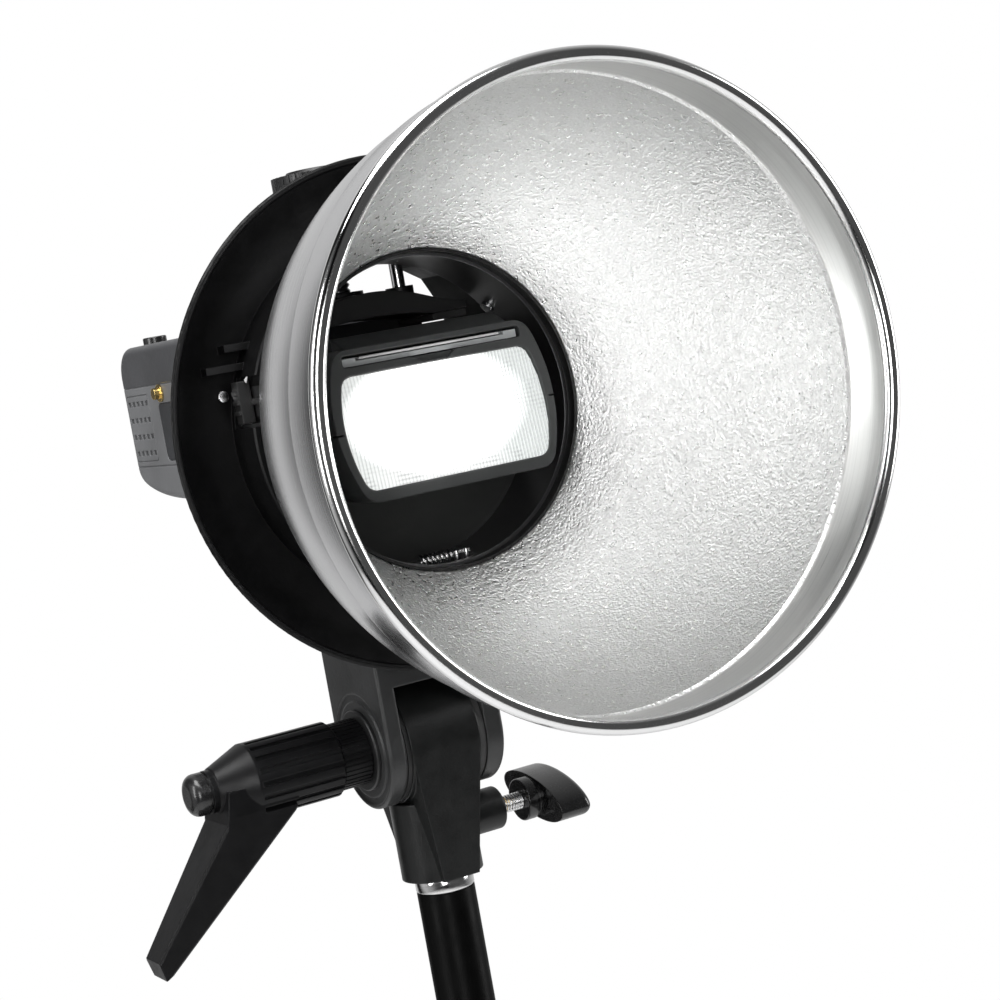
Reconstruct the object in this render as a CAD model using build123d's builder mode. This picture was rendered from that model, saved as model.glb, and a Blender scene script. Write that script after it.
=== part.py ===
"""Hot-shoe flash held in a bayonet bracket with a spun reflector and a tilting stand adapter.

Millimetres, +Z up, the reflector opens towards -Y. The origin is the centre of the mouth of the
stand socket. Every sub-part is its own solid set and is written to its own STEP file.
"""
import os

from build123d import *

os.makedirs("parts", exist_ok=True)

# Heights of the two main axes above the mouth of the stand socket
AXIS_Z = 152.5
TILT_Z = 46.5

# Reflector: rolled rim, smooth band, rounded bowl and throat
RIM_Y = -165.0
RIM_R = 90.0
BEAD_R = 2.2
BAND_R = 87.0
STEP_R = 86.2
STEP_Y = -144.0
THROAT_Y = -54.0
THROAT_R = 49.0
SHEET = 0.8
TWIST = 32.0
LUG_ANGLES = (330.0, 90.0, 210.0)
LUG_SPAN = 28.0

# Bayonet ring and the dished flange around it
RING_FRONT_Y = -50.8
RING_BACK_Y = -25.0
RING_BORE_R = 47.2
RING_R = 56.0
COLLAR_R = 58.3
FLANGE_R = 79.0
FLANGE_LIP_R = 1.1
LATCH_ANGLE = 167.0
LATCH_PIN_R = 1.2
LATCH_PIN_AT = 54.7
POCKET_BACK_Y = -35.6
RING_SCREW_ANGLES = (37.0, 150.0, 250.0)
SCREW_PLACE = (-59.6, 15.2)

# Clamp frame, upper jaw and its screw
FRAME_FRONT_Y = -25.0
FRAME_BACK_Y = 8.0
FRAME_HALF_W = 46.0
FRAME_CORNER_R = 24.5
FRAME_BOTTOM = -60.0
FRAME_TOP = 62.0
OPENING_HALF_W = 40.5
OPENING_BOTTOM = -24.0
OPENING_TOP = 50.0
CLAMP_SCREW_R = 4.0
GUIDE_ROD_R = 2.2
GUIDE_ROD_X = 22.0
CLAMP_KNOB_R = 15.0
FIT = 0.05

# Tilting fork, drum and stand socket
DRUM_R = 20.0
DRUM_HALF_W = 12.5
EAR_IN = 15.0
EAR_OUT = 20.5
EAR_OUT_RIGHT = 21.5
ROSETTE_R = 19.6
STUD_R = 4.0
BARREL_R = 13.6
SOCKET_R = 8.1
SOCKET_DEPTH = 26.0
WING_Z = 15.8
WING_SCREW_R = 2.95
WING_BAR_X = 38.0
WING_BAR_DEPTH = 12.0
WING_BAR_ANGLE = 13.0

# Ratchet lever
HUB_R = 12.3
HUB_IN_X = -32.3
HUB_OUT_X = -62.0
CONE_X = -73.5
STEM_R = 4.6
CAVITY_R = 6.3

# Flash head and flash body
HEAD_TOP = 22.7
HEAD_BOTTOM = -23.3
HEAD_FACE_Y = -64.0
HEAD_RAKE = 6.8
BEZEL_BACK_Y = -48.0
HEAD_BACK_Y = 9.0
KNUCKLE_Y = 27.0
KNUCKLE_Z = AXIS_Z + 2.0
KNUCKLE_R = 10.0
BODY_FRONT_Y = 40.0
BODY_BACK_Y = 114.4
BODY_HALF_W = 38.0
BODY_AXIS_Z = AXIS_Z + 8.5
PANEL_SEAM_Z = AXIS_Z + 22.0
LOWER_SEAM_Z = AXIS_Z - 7.0
WALL = 2.0
SLOT_MID = 42.7
CROWN_TOP = 26.4
CROWN_HALF_W = 28.0
VENT_CENTRE = (100.6, 7.0)
BUTTON_PLACES = ((-22.0, 78.0), (22.0, 78.0))
TEST_PLACE = (-28.0, 98.6)
SWITCH_PLACE = (24.0, 92.0)
CELL_PLACES = ((-14.0, -7.5), (-28.4, -7.5), (-14.0, 6.9), (-28.4, 6.9))
CONTACT_PLACES = ((0.0, 0.0), (-4.2, 3.6), (4.2, 3.6), (-4.2, -3.6), (4.2, -3.6))

OPTIC = Plane(origin=(0, 0, AXIS_Z))
OPTIC_AXIS = Axis((0, 0, AXIS_Z), (0, 1, 0))
TILT_AXIS = Axis((0, 0, TILT_Z), (1, 0, 0))


def face_plane(y):
    """Plane square to the reflector axis: local x is +X, local y is +Z, normal is -Y."""
    return Plane(origin=(0, y, AXIS_Z), x_dir=(1, 0, 0), z_dir=(0, -1, 0))


def side_plane(x, z=0.0):
    """Plane square to the tilt axis: local x is +Y, local y is +Z, normal is +X."""
    return Plane(origin=(x, 0, z), x_dir=(0, 1, 0), z_dir=(1, 0, 0))


def flat_plane(z):
    """Horizontal plane with its normal up."""
    return Plane(origin=(0, 0, z))


def inward_plane(angle, y, radius):
    """Plane that faces the reflector axis from a radius, at an angle from +X towards +Z."""
    toward = Vector(-1, 0, 0).rotate(Axis.Y, -angle)
    return Plane(origin=Vector(0, y, AXIS_Z) - toward * radius, x_dir=(0, 1, 0), z_dir=toward)


def outline(plane, points):
    """Closed straight-sided outline on a plane."""
    with BuildSketch(plane) as shape:
        with BuildLine():
            Polyline(*points, close=True)
        make_face()
    return shape.sketch


def curved_outline(plane, first, second):
    """Outline between two smooth curves that share their two end lines."""
    with BuildSketch(plane) as shape:
        with BuildLine():
            Spline(*first)
            Line(first[-1], second[-1])
            Spline(*reversed(second))
            Line(second[0], first[0])
        make_face()
    return shape.sketch


def sector(plane, inner, outer, start, span):
    """Ring sector on a plane, in degrees from local x."""
    with BuildSketch(plane) as shape:
        with BuildLine():
            outer_arc = CenterArc((0, 0), outer, start, span)
            inner_arc = CenterArc((0, 0), inner, start, span)
            Line(outer_arc @ 0, inner_arc @ 0)
            Line(outer_arc @ 1, inner_arc @ 1)
        make_face()
    return shape.sketch


def thread_outline(plane, length, crest, root, pitch):
    """Half section of a threaded rod: local x is the radius, local y runs along the rod."""
    count = int(length / pitch - 0.5)
    points = [(0.0, 0.0), (root, 0.0)]
    for turn in range(count):
        base = turn * pitch
        points.append((crest, base + 0.4 * pitch))
        points.append((crest, base + 0.6 * pitch))
        points.append((root, base + pitch))
    points.append((root, length))
    points.append((0.0, length))
    return outline(plane, points)


def head_outline(plane, inset):
    """Front outline of the flash head: flat top and bottom, sides that swell outwards."""
    top = HEAD_TOP - inset
    bottom = HEAD_BOTTOM + inset
    with BuildSketch(plane) as shape:
        with BuildLine():
            Line((-32.5 + inset, top), (32.5 - inset, top))
            ThreePointArc((32.5 - inset, top), (37.3 - inset, -0.5), (31.5 - inset, bottom))
            Line((31.5 - inset, bottom), (-31.5 + inset, bottom))
            ThreePointArc((-31.5 + inset, bottom), (-37.3 + inset, -0.5), (-32.5 + inset, top))
        make_face()
        fillet(shape.vertices(), radius=6.0 - 0.5 * inset)
    return shape.sketch


def window_outline(plane, inset):
    """Outline of the flash window on the raked face: sides that swell outwards, rounded corners."""
    bottom = 3.6 + inset
    top = 38.4 - inset
    with BuildSketch(plane) as shape:
        with BuildLine():
            Line((-31.5 + inset, top), (31.5 - inset, top))
            ThreePointArc((31.5 - inset, top), (34.4 - inset, 20.0), (30.8 - inset, bottom))
            Line((30.8 - inset, bottom), (-30.8 + inset, bottom))
            ThreePointArc((-30.8 + inset, bottom), (-34.4 + inset, 20.0), (-31.5 + inset, top))
        make_face()
        fillet(shape.vertices(), radius=4.2 - inset)
    return shape.sketch


def body_outline(plane, inset):
    """Side outline of the flash body: flat top and front, full rounded shoulder and belly."""
    low = AXIS_Z + inset
    high = AXIS_Z - inset
    with BuildSketch(plane) as shape:
        with BuildLine():
            Line((BODY_FRONT_Y + inset, high + 36.0), (BODY_FRONT_Y + inset, low - 20.0))
            Spline(
                (BODY_FRONT_Y + inset, low - 20.0), (72.0, low - 19.2),
                (95.6 - 0.2 * inset, low - 17.1), (105.0 - 0.4 * inset, low - 15.0),
                (112.4 - 0.7 * inset, low - 11.4), (BODY_BACK_Y - inset, AXIS_Z - 5.6),
            )
            Line((BODY_BACK_Y - inset, AXIS_Z - 5.6), (BODY_BACK_Y - inset, AXIS_Z + 25.0))
            ThreePointArc(
                (BODY_BACK_Y - inset, AXIS_Z + 25.0),
                (111.18 - 0.707 * inset, AXIS_Z + 32.78 - 0.707 * inset),
                (103.4, high + 36.0),
            )
            Line((103.4, high + 36.0), (BODY_FRONT_Y + inset, high + 36.0))
        make_face()
    return shape.sketch


def coil(start, direction, pitch, length, radius, wire):
    """Round-wire coil spring that grows from a point along a direction."""
    with BuildPart() as spring:
        with BuildLine():
            path = Helix(pitch=pitch, height=length, radius=radius, center=start, direction=direction)
        with BuildSketch(Plane(origin=path @ 0, z_dir=path % 0)):
            Circle(wire)
        sweep(path=path)
    return spring.part


def save(label, part):
    """Name a finished sub-part and write its STEP file."""
    part.label = label
    export_step(part, f"parts/{label}.step")


# ---------------------------------------------------------------- stand adapter
web_front = outline(Plane.XZ, [
    (-DRUM_HALF_W, TILT_Z - 2.0), (DRUM_HALF_W, TILT_Z - 2.0), (6.5, 0.0), (-6.5, 0.0),
])
web_side = outline(side_plane(0.0), [
    (-19.84, TILT_Z), (-19.84, TILT_Z - 2.53), (-14.1, 0.0),
    (14.1, 0.0), (19.84, TILT_Z - 2.53), (19.84, TILT_Z),
])
with BuildPart() as adapter_body:
    extrude(web_front, amount=20.0, both=True)
    extrude(web_side, amount=20.0, both=True, mode=Mode.INTERSECT)
    with BuildSketch(side_plane(-DRUM_HALF_W, TILT_Z)):
        Circle(DRUM_R)
    extrude(amount=2 * DRUM_HALF_W)
    with BuildSketch(flat_plane(0.0)):
        Circle(BARREL_R)
    extrude(amount=TILT_Z - DRUM_R - 0.2)
    with BuildSketch(side_plane(8.0, WING_Z)):
        Circle(7.2)
    extrude(amount=16.0)
    fillet(adapter_body.edges().filter_by_position(Axis.X, 23.9, 24.1), radius=0.8)
    with BuildSketch(flat_plane(0.0)):
        Circle(SOCKET_R)
    extrude(amount=SOCKET_DEPTH, mode=Mode.SUBTRACT)
    with BuildSketch(side_plane(-DRUM_HALF_W, TILT_Z)):
        Circle(STUD_R + FIT)
    extrude(amount=2 * DRUM_HALF_W, mode=Mode.SUBTRACT)
    with BuildSketch(side_plane(0.0, WING_Z)):
        Circle(WING_SCREW_R + 0.07)
    extrude(amount=24.0, mode=Mode.SUBTRACT)
    with BuildSketch(side_plane(17.0, WING_Z)):
        Circle(4.6)
    extrude(amount=7.0, mode=Mode.SUBTRACT)

with BuildPart() as adapter_rosette:
    with BuildSketch(side_plane(-DRUM_HALF_W, TILT_Z)):
        Circle(ROSETTE_R)
        Circle(STUD_R + 1.0, mode=Mode.SUBTRACT)
    extrude(amount=-0.6)
    with BuildSketch(side_plane(-DRUM_HALF_W - 0.6, TILT_Z)):
        with PolarLocations(14.2, 24):
            Rectangle(8.4, 1.5)
    extrude(amount=-0.4)
    with BuildSketch(side_plane(-DRUM_HALF_W - 0.6, TILT_Z)):
        Circle(ROSETTE_R)
        Circle(ROSETTE_R - 0.8, mode=Mode.SUBTRACT)
    extrude(amount=-0.95)

with BuildPart() as friction_washer:
    with BuildSketch(side_plane(DRUM_HALF_W, TILT_Z)):
        Circle(ROSETTE_R)
        Circle(STUD_R + 1.0, mode=Mode.SUBTRACT)
    extrude(amount=2.2)

with BuildPart() as screw_insert:
    with BuildSketch(side_plane(17.0, WING_Z)):
        Circle(4.6)
        Circle(WING_SCREW_R + 0.07, mode=Mode.SUBTRACT)
    extrude(amount=7.3)

# ---------------------------------------------------------------- stand clamp screw
with BuildPart() as clamp_pad:
    with BuildSketch(side_plane(8.4, WING_Z)):
        Circle(WING_SCREW_R)
    extrude(amount=2.4)

wing_rod_plane = Plane(origin=(11.2, 0, WING_Z), x_dir=(0, 1, 0), z_dir=(0, 0, -1))
with BuildPart() as wing_screw:
    revolve(
        thread_outline(wing_rod_plane, 24.8, WING_SCREW_R, WING_SCREW_R - 0.45, 1.0),
        axis=Axis((11.2, 0, WING_Z), (1, 0, 0)),
    )

with BuildPart() as wing_knob:
    with BuildSketch(side_plane(32.6, WING_Z)):
        Circle(7.2)
    extrude(amount=3.8)
    with BuildSketch(side_plane(36.4, WING_Z)):
        Circle(6.0)
    extrude(amount=2.0)
    with BuildSketch(side_plane(WING_BAR_X, WING_Z)):
        Ellipse(19.0, 6.9, rotation=WING_BAR_ANGLE)
    extrude(amount=WING_BAR_DEPTH)
    fillet(wing_knob.edges().filter_by_position(Axis.X, 49.9, 50.1), radius=2.4)
    fillet(wing_knob.edges().filter_by_position(Axis.X, 32.5, 32.7), radius=0.6)
    with BuildSketch(side_plane(32.6, WING_Z)):
        Circle(WING_SCREW_R + FIT)
    extrude(amount=3.4, mode=Mode.SUBTRACT)

# ---------------------------------------------------------------- tilting fork
with BuildPart() as fork:
    with BuildSketch(side_plane(-EAR_OUT, TILT_Z)):
        Circle(DRUM_R)
        with Locations((0, 23.0)):
            Rectangle(2 * DRUM_R, 46.0)
    extrude(amount=EAR_OUT - EAR_IN)
    with BuildSketch(side_plane(EAR_IN, TILT_Z)):
        Circle(DRUM_R)
        with Locations((0, 23.0)):
            Rectangle(2 * DRUM_R, 46.0)
    extrude(amount=EAR_OUT_RIGHT - EAR_IN)
    with BuildSketch(Plane.XY.offset(TILT_Z + DRUM_R + 0.6)):
        with Locations((0.5 * (EAR_OUT_RIGHT - EAR_OUT), 0)):
            Rectangle(EAR_OUT + EAR_OUT_RIGHT, 2 * DRUM_R)
    extrude(amount=25.4)
    fillet(fork.edges().filter_by(Axis.Z).group_by(Axis.X)[0], radius=1.2)
    fillet(fork.edges().filter_by(Axis.Z).group_by(Axis.X)[-1], radius=1.2)
    with BuildSketch(side_plane(-EAR_OUT, TILT_Z)):
        Circle(STUD_R + FIT)
    extrude(amount=EAR_OUT + EAR_OUT_RIGHT, mode=Mode.SUBTRACT)
    with BuildSketch(side_plane(EAR_OUT_RIGHT, TILT_Z)):
        RegularPolygon(radius=7.6, side_count=6)
    extrude(amount=-4.5, mode=Mode.SUBTRACT)
    with BuildSketch(side_plane(-EAR_OUT, TILT_Z)):
        Circle(DRUM_R - 1.5)
        Circle(DRUM_R - 4.0, mode=Mode.SUBTRACT)
    extrude(amount=0.5, mode=Mode.SUBTRACT)

with BuildPart() as fork_rosette:
    with BuildSketch(side_plane(-EAR_IN, TILT_Z)):
        Circle(ROSETTE_R)
        Circle(STUD_R + 1.0, mode=Mode.SUBTRACT)
    extrude(amount=0.6)
    with BuildSketch(side_plane(-EAR_IN + 0.6, TILT_Z)):
        with PolarLocations(14.2, 24):
            Rectangle(8.4, 1.5)
    extrude(amount=0.4)

with BuildPart() as tilt_stud:
    with BuildSketch(side_plane(EAR_OUT_RIGHT - 4.4, TILT_Z)):
        RegularPolygon(radius=7.4, side_count=6)
    extrude(amount=4.4)
    with BuildSketch(side_plane(EAR_OUT_RIGHT - 4.4, TILT_Z)):
        Circle(STUD_R)
    extrude(amount=-(EAR_OUT_RIGHT - 4.4) + HUB_IN_X + 1.0)

with BuildPart() as ear_washer:
    with BuildSketch(side_plane(-EAR_OUT, TILT_Z)):
        Circle(13.4)
        Circle(STUD_R + 0.4, mode=Mode.SUBTRACT)
    extrude(amount=-1.4)
    outer_edges = ear_washer.edges().group_by(Axis.X)[0].sort_by(SortBy.LENGTH)
    chamfer(outer_edges[-1], length=0.4)

# ---------------------------------------------------------------- ratchet lever
with BuildPart() as lever_sleeve:
    with BuildSketch(side_plane(-EAR_OUT - 1.8, TILT_Z)):
        Circle(11.0)
        with PolarLocations(11.2, 40):
            Rectangle(1.0, 0.8, mode=Mode.SUBTRACT)
    extrude(amount=HUB_IN_X + 0.4 + EAR_OUT + 1.8)
    with BuildSketch(side_plane(HUB_IN_X + 0.4, TILT_Z)):
        Circle(STEM_R)
    extrude(amount=-23.2)
    with BuildSketch(side_plane(-55.0, TILT_Z)):
        Circle(CAVITY_R - 0.3)
    extrude(amount=-2.0)
    with BuildSketch(side_plane(-EAR_OUT - 1.8, TILT_Z)):
        Circle(STUD_R + FIT)
    extrude(amount=HUB_IN_X + 0.4 + EAR_OUT + 1.8, mode=Mode.SUBTRACT)

arm_front = outline(Plane.XZ, [
    (-47.0, TILT_Z), (-72.0, TILT_Z), (-74.0, TILT_Z - 10.0), (-102.8, TILT_Z - 46.5),
    (-101.2, TILT_Z - 52.6), (-98.6, TILT_Z - 51.6), (-50.6, TILT_Z - 11.0),
])
arm_side = outline(side_plane(-110.0), [
    (-10.4, TILT_Z + 1.0), (-10.4, TILT_Z - 8.0), (-5.6, TILT_Z - 54.0),
    (5.6, TILT_Z - 54.0), (10.4, TILT_Z - 8.0), (10.4, TILT_Z + 1.0),
])
with BuildPart() as lever_handle:
    extrude(arm_front, amount=12.0, both=True)
    extrude(arm_side, amount=70.0, mode=Mode.INTERSECT)
    long_edges = lever_handle.edges().filter_by(lambda edge: edge.length > 30.0)
    chamfer(long_edges, length=0.7)
    hub_section = outline(
        Plane(origin=(0, 0, TILT_Z), x_dir=(1, 0, 0), z_dir=(0, 0, 1)),
        [
            (HUB_IN_X, 0.0), (HUB_IN_X, HUB_R - 0.6), (HUB_IN_X - 0.6, HUB_R), (HUB_OUT_X, HUB_R),
            (CONE_X, 7.3), (CONE_X, 6.9), (-75.6, 6.9), (-75.6, 0.0),
        ],
    )
    revolve(hub_section, axis=TILT_AXIS)
    with BuildSketch(side_plane(HUB_IN_X, TILT_Z)):
        with PolarLocations(HUB_R + 0.3, 18):
            Rectangle(2.2, 1.7)
    extrude(amount=HUB_OUT_X - HUB_IN_X + 1.0, mode=Mode.SUBTRACT)
    with BuildSketch(side_plane(HUB_IN_X - 2.0, TILT_Z)):
        Circle(CAVITY_R)
    extrude(amount=-50.0, mode=Mode.SUBTRACT)
    with BuildSketch(side_plane(HUB_IN_X, TILT_Z)):
        Circle(STEM_R + FIT)
    extrude(amount=-3.0, mode=Mode.SUBTRACT)

with BuildPart() as lever_cap:
    with BuildSketch(side_plane(-70.0, TILT_Z)):
        Circle(CAVITY_R - FIT)
    extrude(amount=-6.4)
    with BuildSketch(side_plane(-76.4, TILT_Z)):
        Circle(6.8)
    extrude(amount=-5.6)
    fillet(lever_cap.edges().filter_by_position(Axis.X, -82.1, -81.9), radius=3.2)

lever_spring = coil((-54.4, 0, TILT_Z), (1, 0, 0), 2.8, 19.0, 5.45, 0.5)

# ---------------------------------------------------------------- bracket
frame_opening = outline(face_plane(FRAME_FRONT_Y), [
    (-OPENING_HALF_W, OPENING_BOTTOM), (OPENING_HALF_W, OPENING_BOTTOM), (OPENING_HALF_W, 30.0),
    (34.6, 41.2), (27.3, 45.6), (27.3, OPENING_TOP), (-27.3, OPENING_TOP), (-27.3, 45.6),
    (-34.6, 41.2), (-OPENING_HALF_W, 30.0),
])
with BuildPart() as clamp_frame:
    with BuildSketch(face_plane(FRAME_FRONT_Y)):
        with Locations((0, 0.5 * (FRAME_TOP + FRAME_BOTTOM))):
            RectangleRounded(2 * FRAME_HALF_W, FRAME_TOP - FRAME_BOTTOM, FRAME_CORNER_R)
    extrude(amount=FRAME_FRONT_Y - FRAME_BACK_Y)
    fillet(clamp_frame.edges().filter_by_position(Axis.Y, 7.9, 8.1), radius=3.6)
    extrude(frame_opening, amount=FRAME_FRONT_Y - FRAME_BACK_Y, mode=Mode.SUBTRACT)
    with BuildSketch(face_plane(-18.0)):
        with Locations((0, OPENING_BOTTOM - 1.0)):
            Rectangle(62.0, 4.0)
    extrude(amount=-24.0, mode=Mode.SUBTRACT)
    with BuildSketch(flat_plane(AXIS_Z + OPENING_TOP)):
        with Locations((-GUIDE_ROD_X, 0), (GUIDE_ROD_X, 0)):
            Circle(4.2)
        Circle(7.2)
    extrude(amount=20.0, mode=Mode.SUBTRACT)
    with BuildSketch(face_plane(FRAME_BACK_Y)):
        with Locations((-36.0, -42.0), (36.0, -42.0), (-31.0, 55.0), (31.0, 55.0)):
            Circle(2.4)
    extrude(amount=1.2, mode=Mode.SUBTRACT)

flange_section = curved_outline(
    OPTIC,
    [(COLLAR_R - 0.4, -33.8), (63.0, -34.0), (70.5, -35.8), (76.0, -39.2), (FLANGE_R, -41.2)],
    [(COLLAR_R - 0.4, -31.6), (63.0, -31.8), (71.0, -33.6), (76.8, -37.0), (FLANGE_R, -39.4)],
)
with BuildPart() as mount_flange:
    revolve(flange_section, axis=OPTIC_AXIS)
    with BuildSketch(OPTIC):
        with Locations((FLANGE_R, -40.4)):
            Circle(FLANGE_LIP_R)
    revolve(axis=OPTIC_AXIS)
    revolve(
        outline(OPTIC, [
            (RING_R + 0.1, -49.6), (COLLAR_R - 0.5, -50.2), (COLLAR_R, -49.4),
            (COLLAR_R, FRAME_FRONT_Y), (RING_R + 0.1, FRAME_FRONT_Y),
        ]),
        axis=OPTIC_AXIS,
    )
    with BuildSketch(face_plane(-32.6)):
        with Locations((-54.25, 29.0)):
            Rectangle(8.5, 2.2)
        with Locations((-59.2, 23.2)):
            Rectangle(12.4, 2.2)
    extrude(amount=7.0)
    with BuildSketch(face_plane(POCKET_BACK_Y)):
        with Locations((-57.0, 12.5)):
            Rectangle(7.0, 15.0)
    extrude(amount=16.4, mode=Mode.SUBTRACT)
    with BuildSketch(face_plane(-33.0)):
        with Locations(SCREW_PLACE):
            Circle(0.8)
    extrude(amount=4.0, both=True, mode=Mode.SUBTRACT)

with BuildPart() as bayonet_ring:
    revolve(
        outline(OPTIC, [
            (RING_BORE_R, -50.6), (RING_BORE_R + 1.2, -50.6), (RING_BORE_R + 1.2, -38.0), (53.8, -38.0),
            (53.8, -46.3), (51.8, -46.3), (51.8, RING_FRONT_Y), (RING_R, RING_FRONT_Y),
            (RING_R, RING_BACK_Y), (RING_BORE_R, RING_BACK_Y),
        ]),
        axis=OPTIC_AXIS,
    )
    for angle in LUG_ANGLES:
        extrude(
            sector(face_plane(-46.0), 51.0, 53.8, angle + TWIST - 17.0, 34.0),
            amount=6.0, mode=Mode.SUBTRACT,
        )
    with BuildSketch(face_plane(RING_FRONT_Y)):
        with PolarLocations(LATCH_PIN_AT, 1, start_angle=LATCH_ANGLE):
            Circle(LATCH_PIN_R + FIT)
    extrude(amount=RING_FRONT_Y - POCKET_BACK_Y, mode=Mode.SUBTRACT)
    with BuildSketch(face_plane(POCKET_BACK_Y)):
        with Locations((-56.0, 12.5)):
            Rectangle(5.4, 13.4)
    extrude(amount=16.2, mode=Mode.SUBTRACT)
    with BuildSketch(face_plane(-30.0)):
        with Locations((0, -48.2)):
            Rectangle(18.0, 3.6)
    extrude(amount=17.0, mode=Mode.SUBTRACT)
    for angle in RING_SCREW_ANGLES:
        with BuildSketch(inward_plane(angle, -29.0, 55.0)):
            Circle(1.5)
        extrude(amount=9.0, mode=Mode.SUBTRACT)

with BuildPart() as ring_screws:
    for angle in RING_SCREW_ANGLES:
        with BuildSketch(inward_plane(angle, -29.0, 54.0)):
            Circle(1.4)
        extrude(amount=7.0)
        with BuildSketch(inward_plane(angle, -29.0, RING_BORE_R - 0.1)):
            Circle(2.3)
        extrude(amount=1.1)

with BuildPart() as detent_posts:
    for x in (4.6, 8.0):
        with BuildSketch(Plane(origin=(x, -41.5, AXIS_Z - 52.8))):
            Circle(1.0)
        extrude(amount=7.0)
        with BuildSketch(Plane(origin=(x, -41.5, AXIS_Z - 45.8))):
            Circle(1.7)
        extrude(amount=1.2)

detent_spring = coil((-8.2, -41.5, AXIS_Z - 45.9), (1, 0, 0), 1.6, 10.4, 1.9, 0.45)

with BuildPart() as flange_screw:
    with BuildSketch(face_plane(-30.8)):
        with Locations(SCREW_PLACE):
            Circle(0.75)
    extrude(amount=3.4)
    with BuildSketch(face_plane(-34.25)):
        with Locations(SCREW_PLACE):
            Circle(1.7)
    extrude(amount=1.0)

with BuildPart() as index_mark:
    with BuildSketch(inward_plane(161.0, -44.0, COLLAR_R + 0.02)):
        RegularPolygon(radius=1.1, side_count=3)
    extrude(amount=-0.4)

with BuildPart() as cradle_pad:
    with BuildSketch(face_plane(-18.0)):
        with Locations((0, OPENING_BOTTOM - 1.2)):
            Rectangle(61.6, 3.4)
    extrude(amount=-23.8)
    for y in (-14.0, -10.0, -6.0, -2.0, 2.0):
        with BuildSketch(face_plane(y)):
            with Locations((0, OPENING_BOTTOM + 0.4)):
                Rectangle(61.6, 0.8)
        extrude(amount=-1.2, mode=Mode.SUBTRACT)

with BuildPart() as guide_bushes:
    with BuildSketch(flat_plane(AXIS_Z + OPENING_TOP + 0.2)):
        with Locations((-GUIDE_ROD_X, 0), (GUIDE_ROD_X, 0)):
            Circle(4.2)
            Circle(GUIDE_ROD_R + FIT, mode=Mode.SUBTRACT)
    extrude(amount=14.0)

with BuildPart() as clamp_nut:
    with BuildSketch(flat_plane(AXIS_Z + OPENING_TOP + 0.2)):
        Circle(7.2)
        Circle(CLAMP_SCREW_R + FIT, mode=Mode.SUBTRACT)
    extrude(amount=14.6)

# ---------------------------------------------------------------- reflector release latch
with BuildPart() as latch_slider:
    with BuildSketch(face_plane(-38.2)):
        with Locations((-55.9, 12.5)):
            Rectangle(4.0, 12.6)
    extrude(amount=4.4)
    for z in (9.5, 12.5, 15.5):
        with BuildSketch(face_plane(-38.6)):
            with Locations((-58.0, z)):
                Rectangle(1.0, 1.2)
        extrude(amount=3.6)
    with BuildSketch(face_plane(-38.2)):
        with PolarLocations(LATCH_PIN_AT, 1, start_angle=LATCH_ANGLE):
            Circle(LATCH_PIN_R)
    extrude(amount=5.4, mode=Mode.SUBTRACT)

with BuildPart() as latch_pin:
    with BuildSketch(face_plane(-38.0)):
        with PolarLocations(LATCH_PIN_AT, 1, start_angle=LATCH_ANGLE):
            Circle(LATCH_PIN_R)
    extrude(amount=14.9)

# ---------------------------------------------------------------- upper jaw and its screw
jaw_top = [
    (-34.0, 31.8), (-26.0, 33.2), (-14.0, 37.2), (0.0, 39.0), (14.0, 37.2), (26.0, 33.2), (34.0, 31.8),
]
with BuildPart() as jaw_arch:
    with BuildSketch(face_plane(-22.0)):
        with BuildLine():
            Spline(*jaw_top)
            Polyline((34.0, 31.8), (34.0, 29.2), (21.5, 29.2))
            ThreePointArc((21.5, 29.2), (0.0, 31.0), (-21.5, 29.2))
            Polyline((-21.5, 29.2), (-34.0, 29.2), (-34.0, 31.8))
        make_face()
    extrude(amount=-27.0)
    with BuildSketch(flat_plane(AXIS_Z + 30.0)):
        with Locations((-GUIDE_ROD_X, 0), (GUIDE_ROD_X, 0)):
            Circle(4.6)
    extrude(amount=9.6)
    with BuildSketch(flat_plane(AXIS_Z + 33.0)):
        Circle(8.0)
    extrude(amount=7.4)
    with BuildSketch(flat_plane(AXIS_Z + 35.8)):
        Circle(CLAMP_SCREW_R + FIT)
    extrude(amount=6.0, mode=Mode.SUBTRACT)
    with BuildSketch(flat_plane(AXIS_Z + 31.0)):
        with Locations((-GUIDE_ROD_X, 0), (GUIDE_ROD_X, 0)):
            Circle(GUIDE_ROD_R)
    extrude(amount=10.0, mode=Mode.SUBTRACT)

with BuildPart() as jaw_pads:
    for side in (-1.0, 1.0):
        with BuildSketch(face_plane(-21.0)):
            with Locations((side * 27.6, 27.95)):
                RectangleRounded(12.4, 2.3, 0.9)
        extrude(amount=-25.0)

with BuildPart() as guide_rods:
    with BuildSketch(flat_plane(AXIS_Z + 31.0)):
        with Locations((-GUIDE_ROD_X, 0), (GUIDE_ROD_X, 0)):
            Circle(GUIDE_ROD_R)
    extrude(amount=39.0)
    chamfer(guide_rods.edges().group_by(Axis.Z)[-1], length=0.5)

clamp_rod_plane = Plane(origin=(0, 0, AXIS_Z + 36.0), x_dir=(1, 0, 0), z_dir=(0, -1, 0))
with BuildPart() as clamp_screw:
    revolve(
        thread_outline(clamp_rod_plane, 41.0, CLAMP_SCREW_R, CLAMP_SCREW_R - 0.7, 2.0),
        axis=Axis((0, 0, AXIS_Z), (0, 0, 1)),
    )

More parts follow.
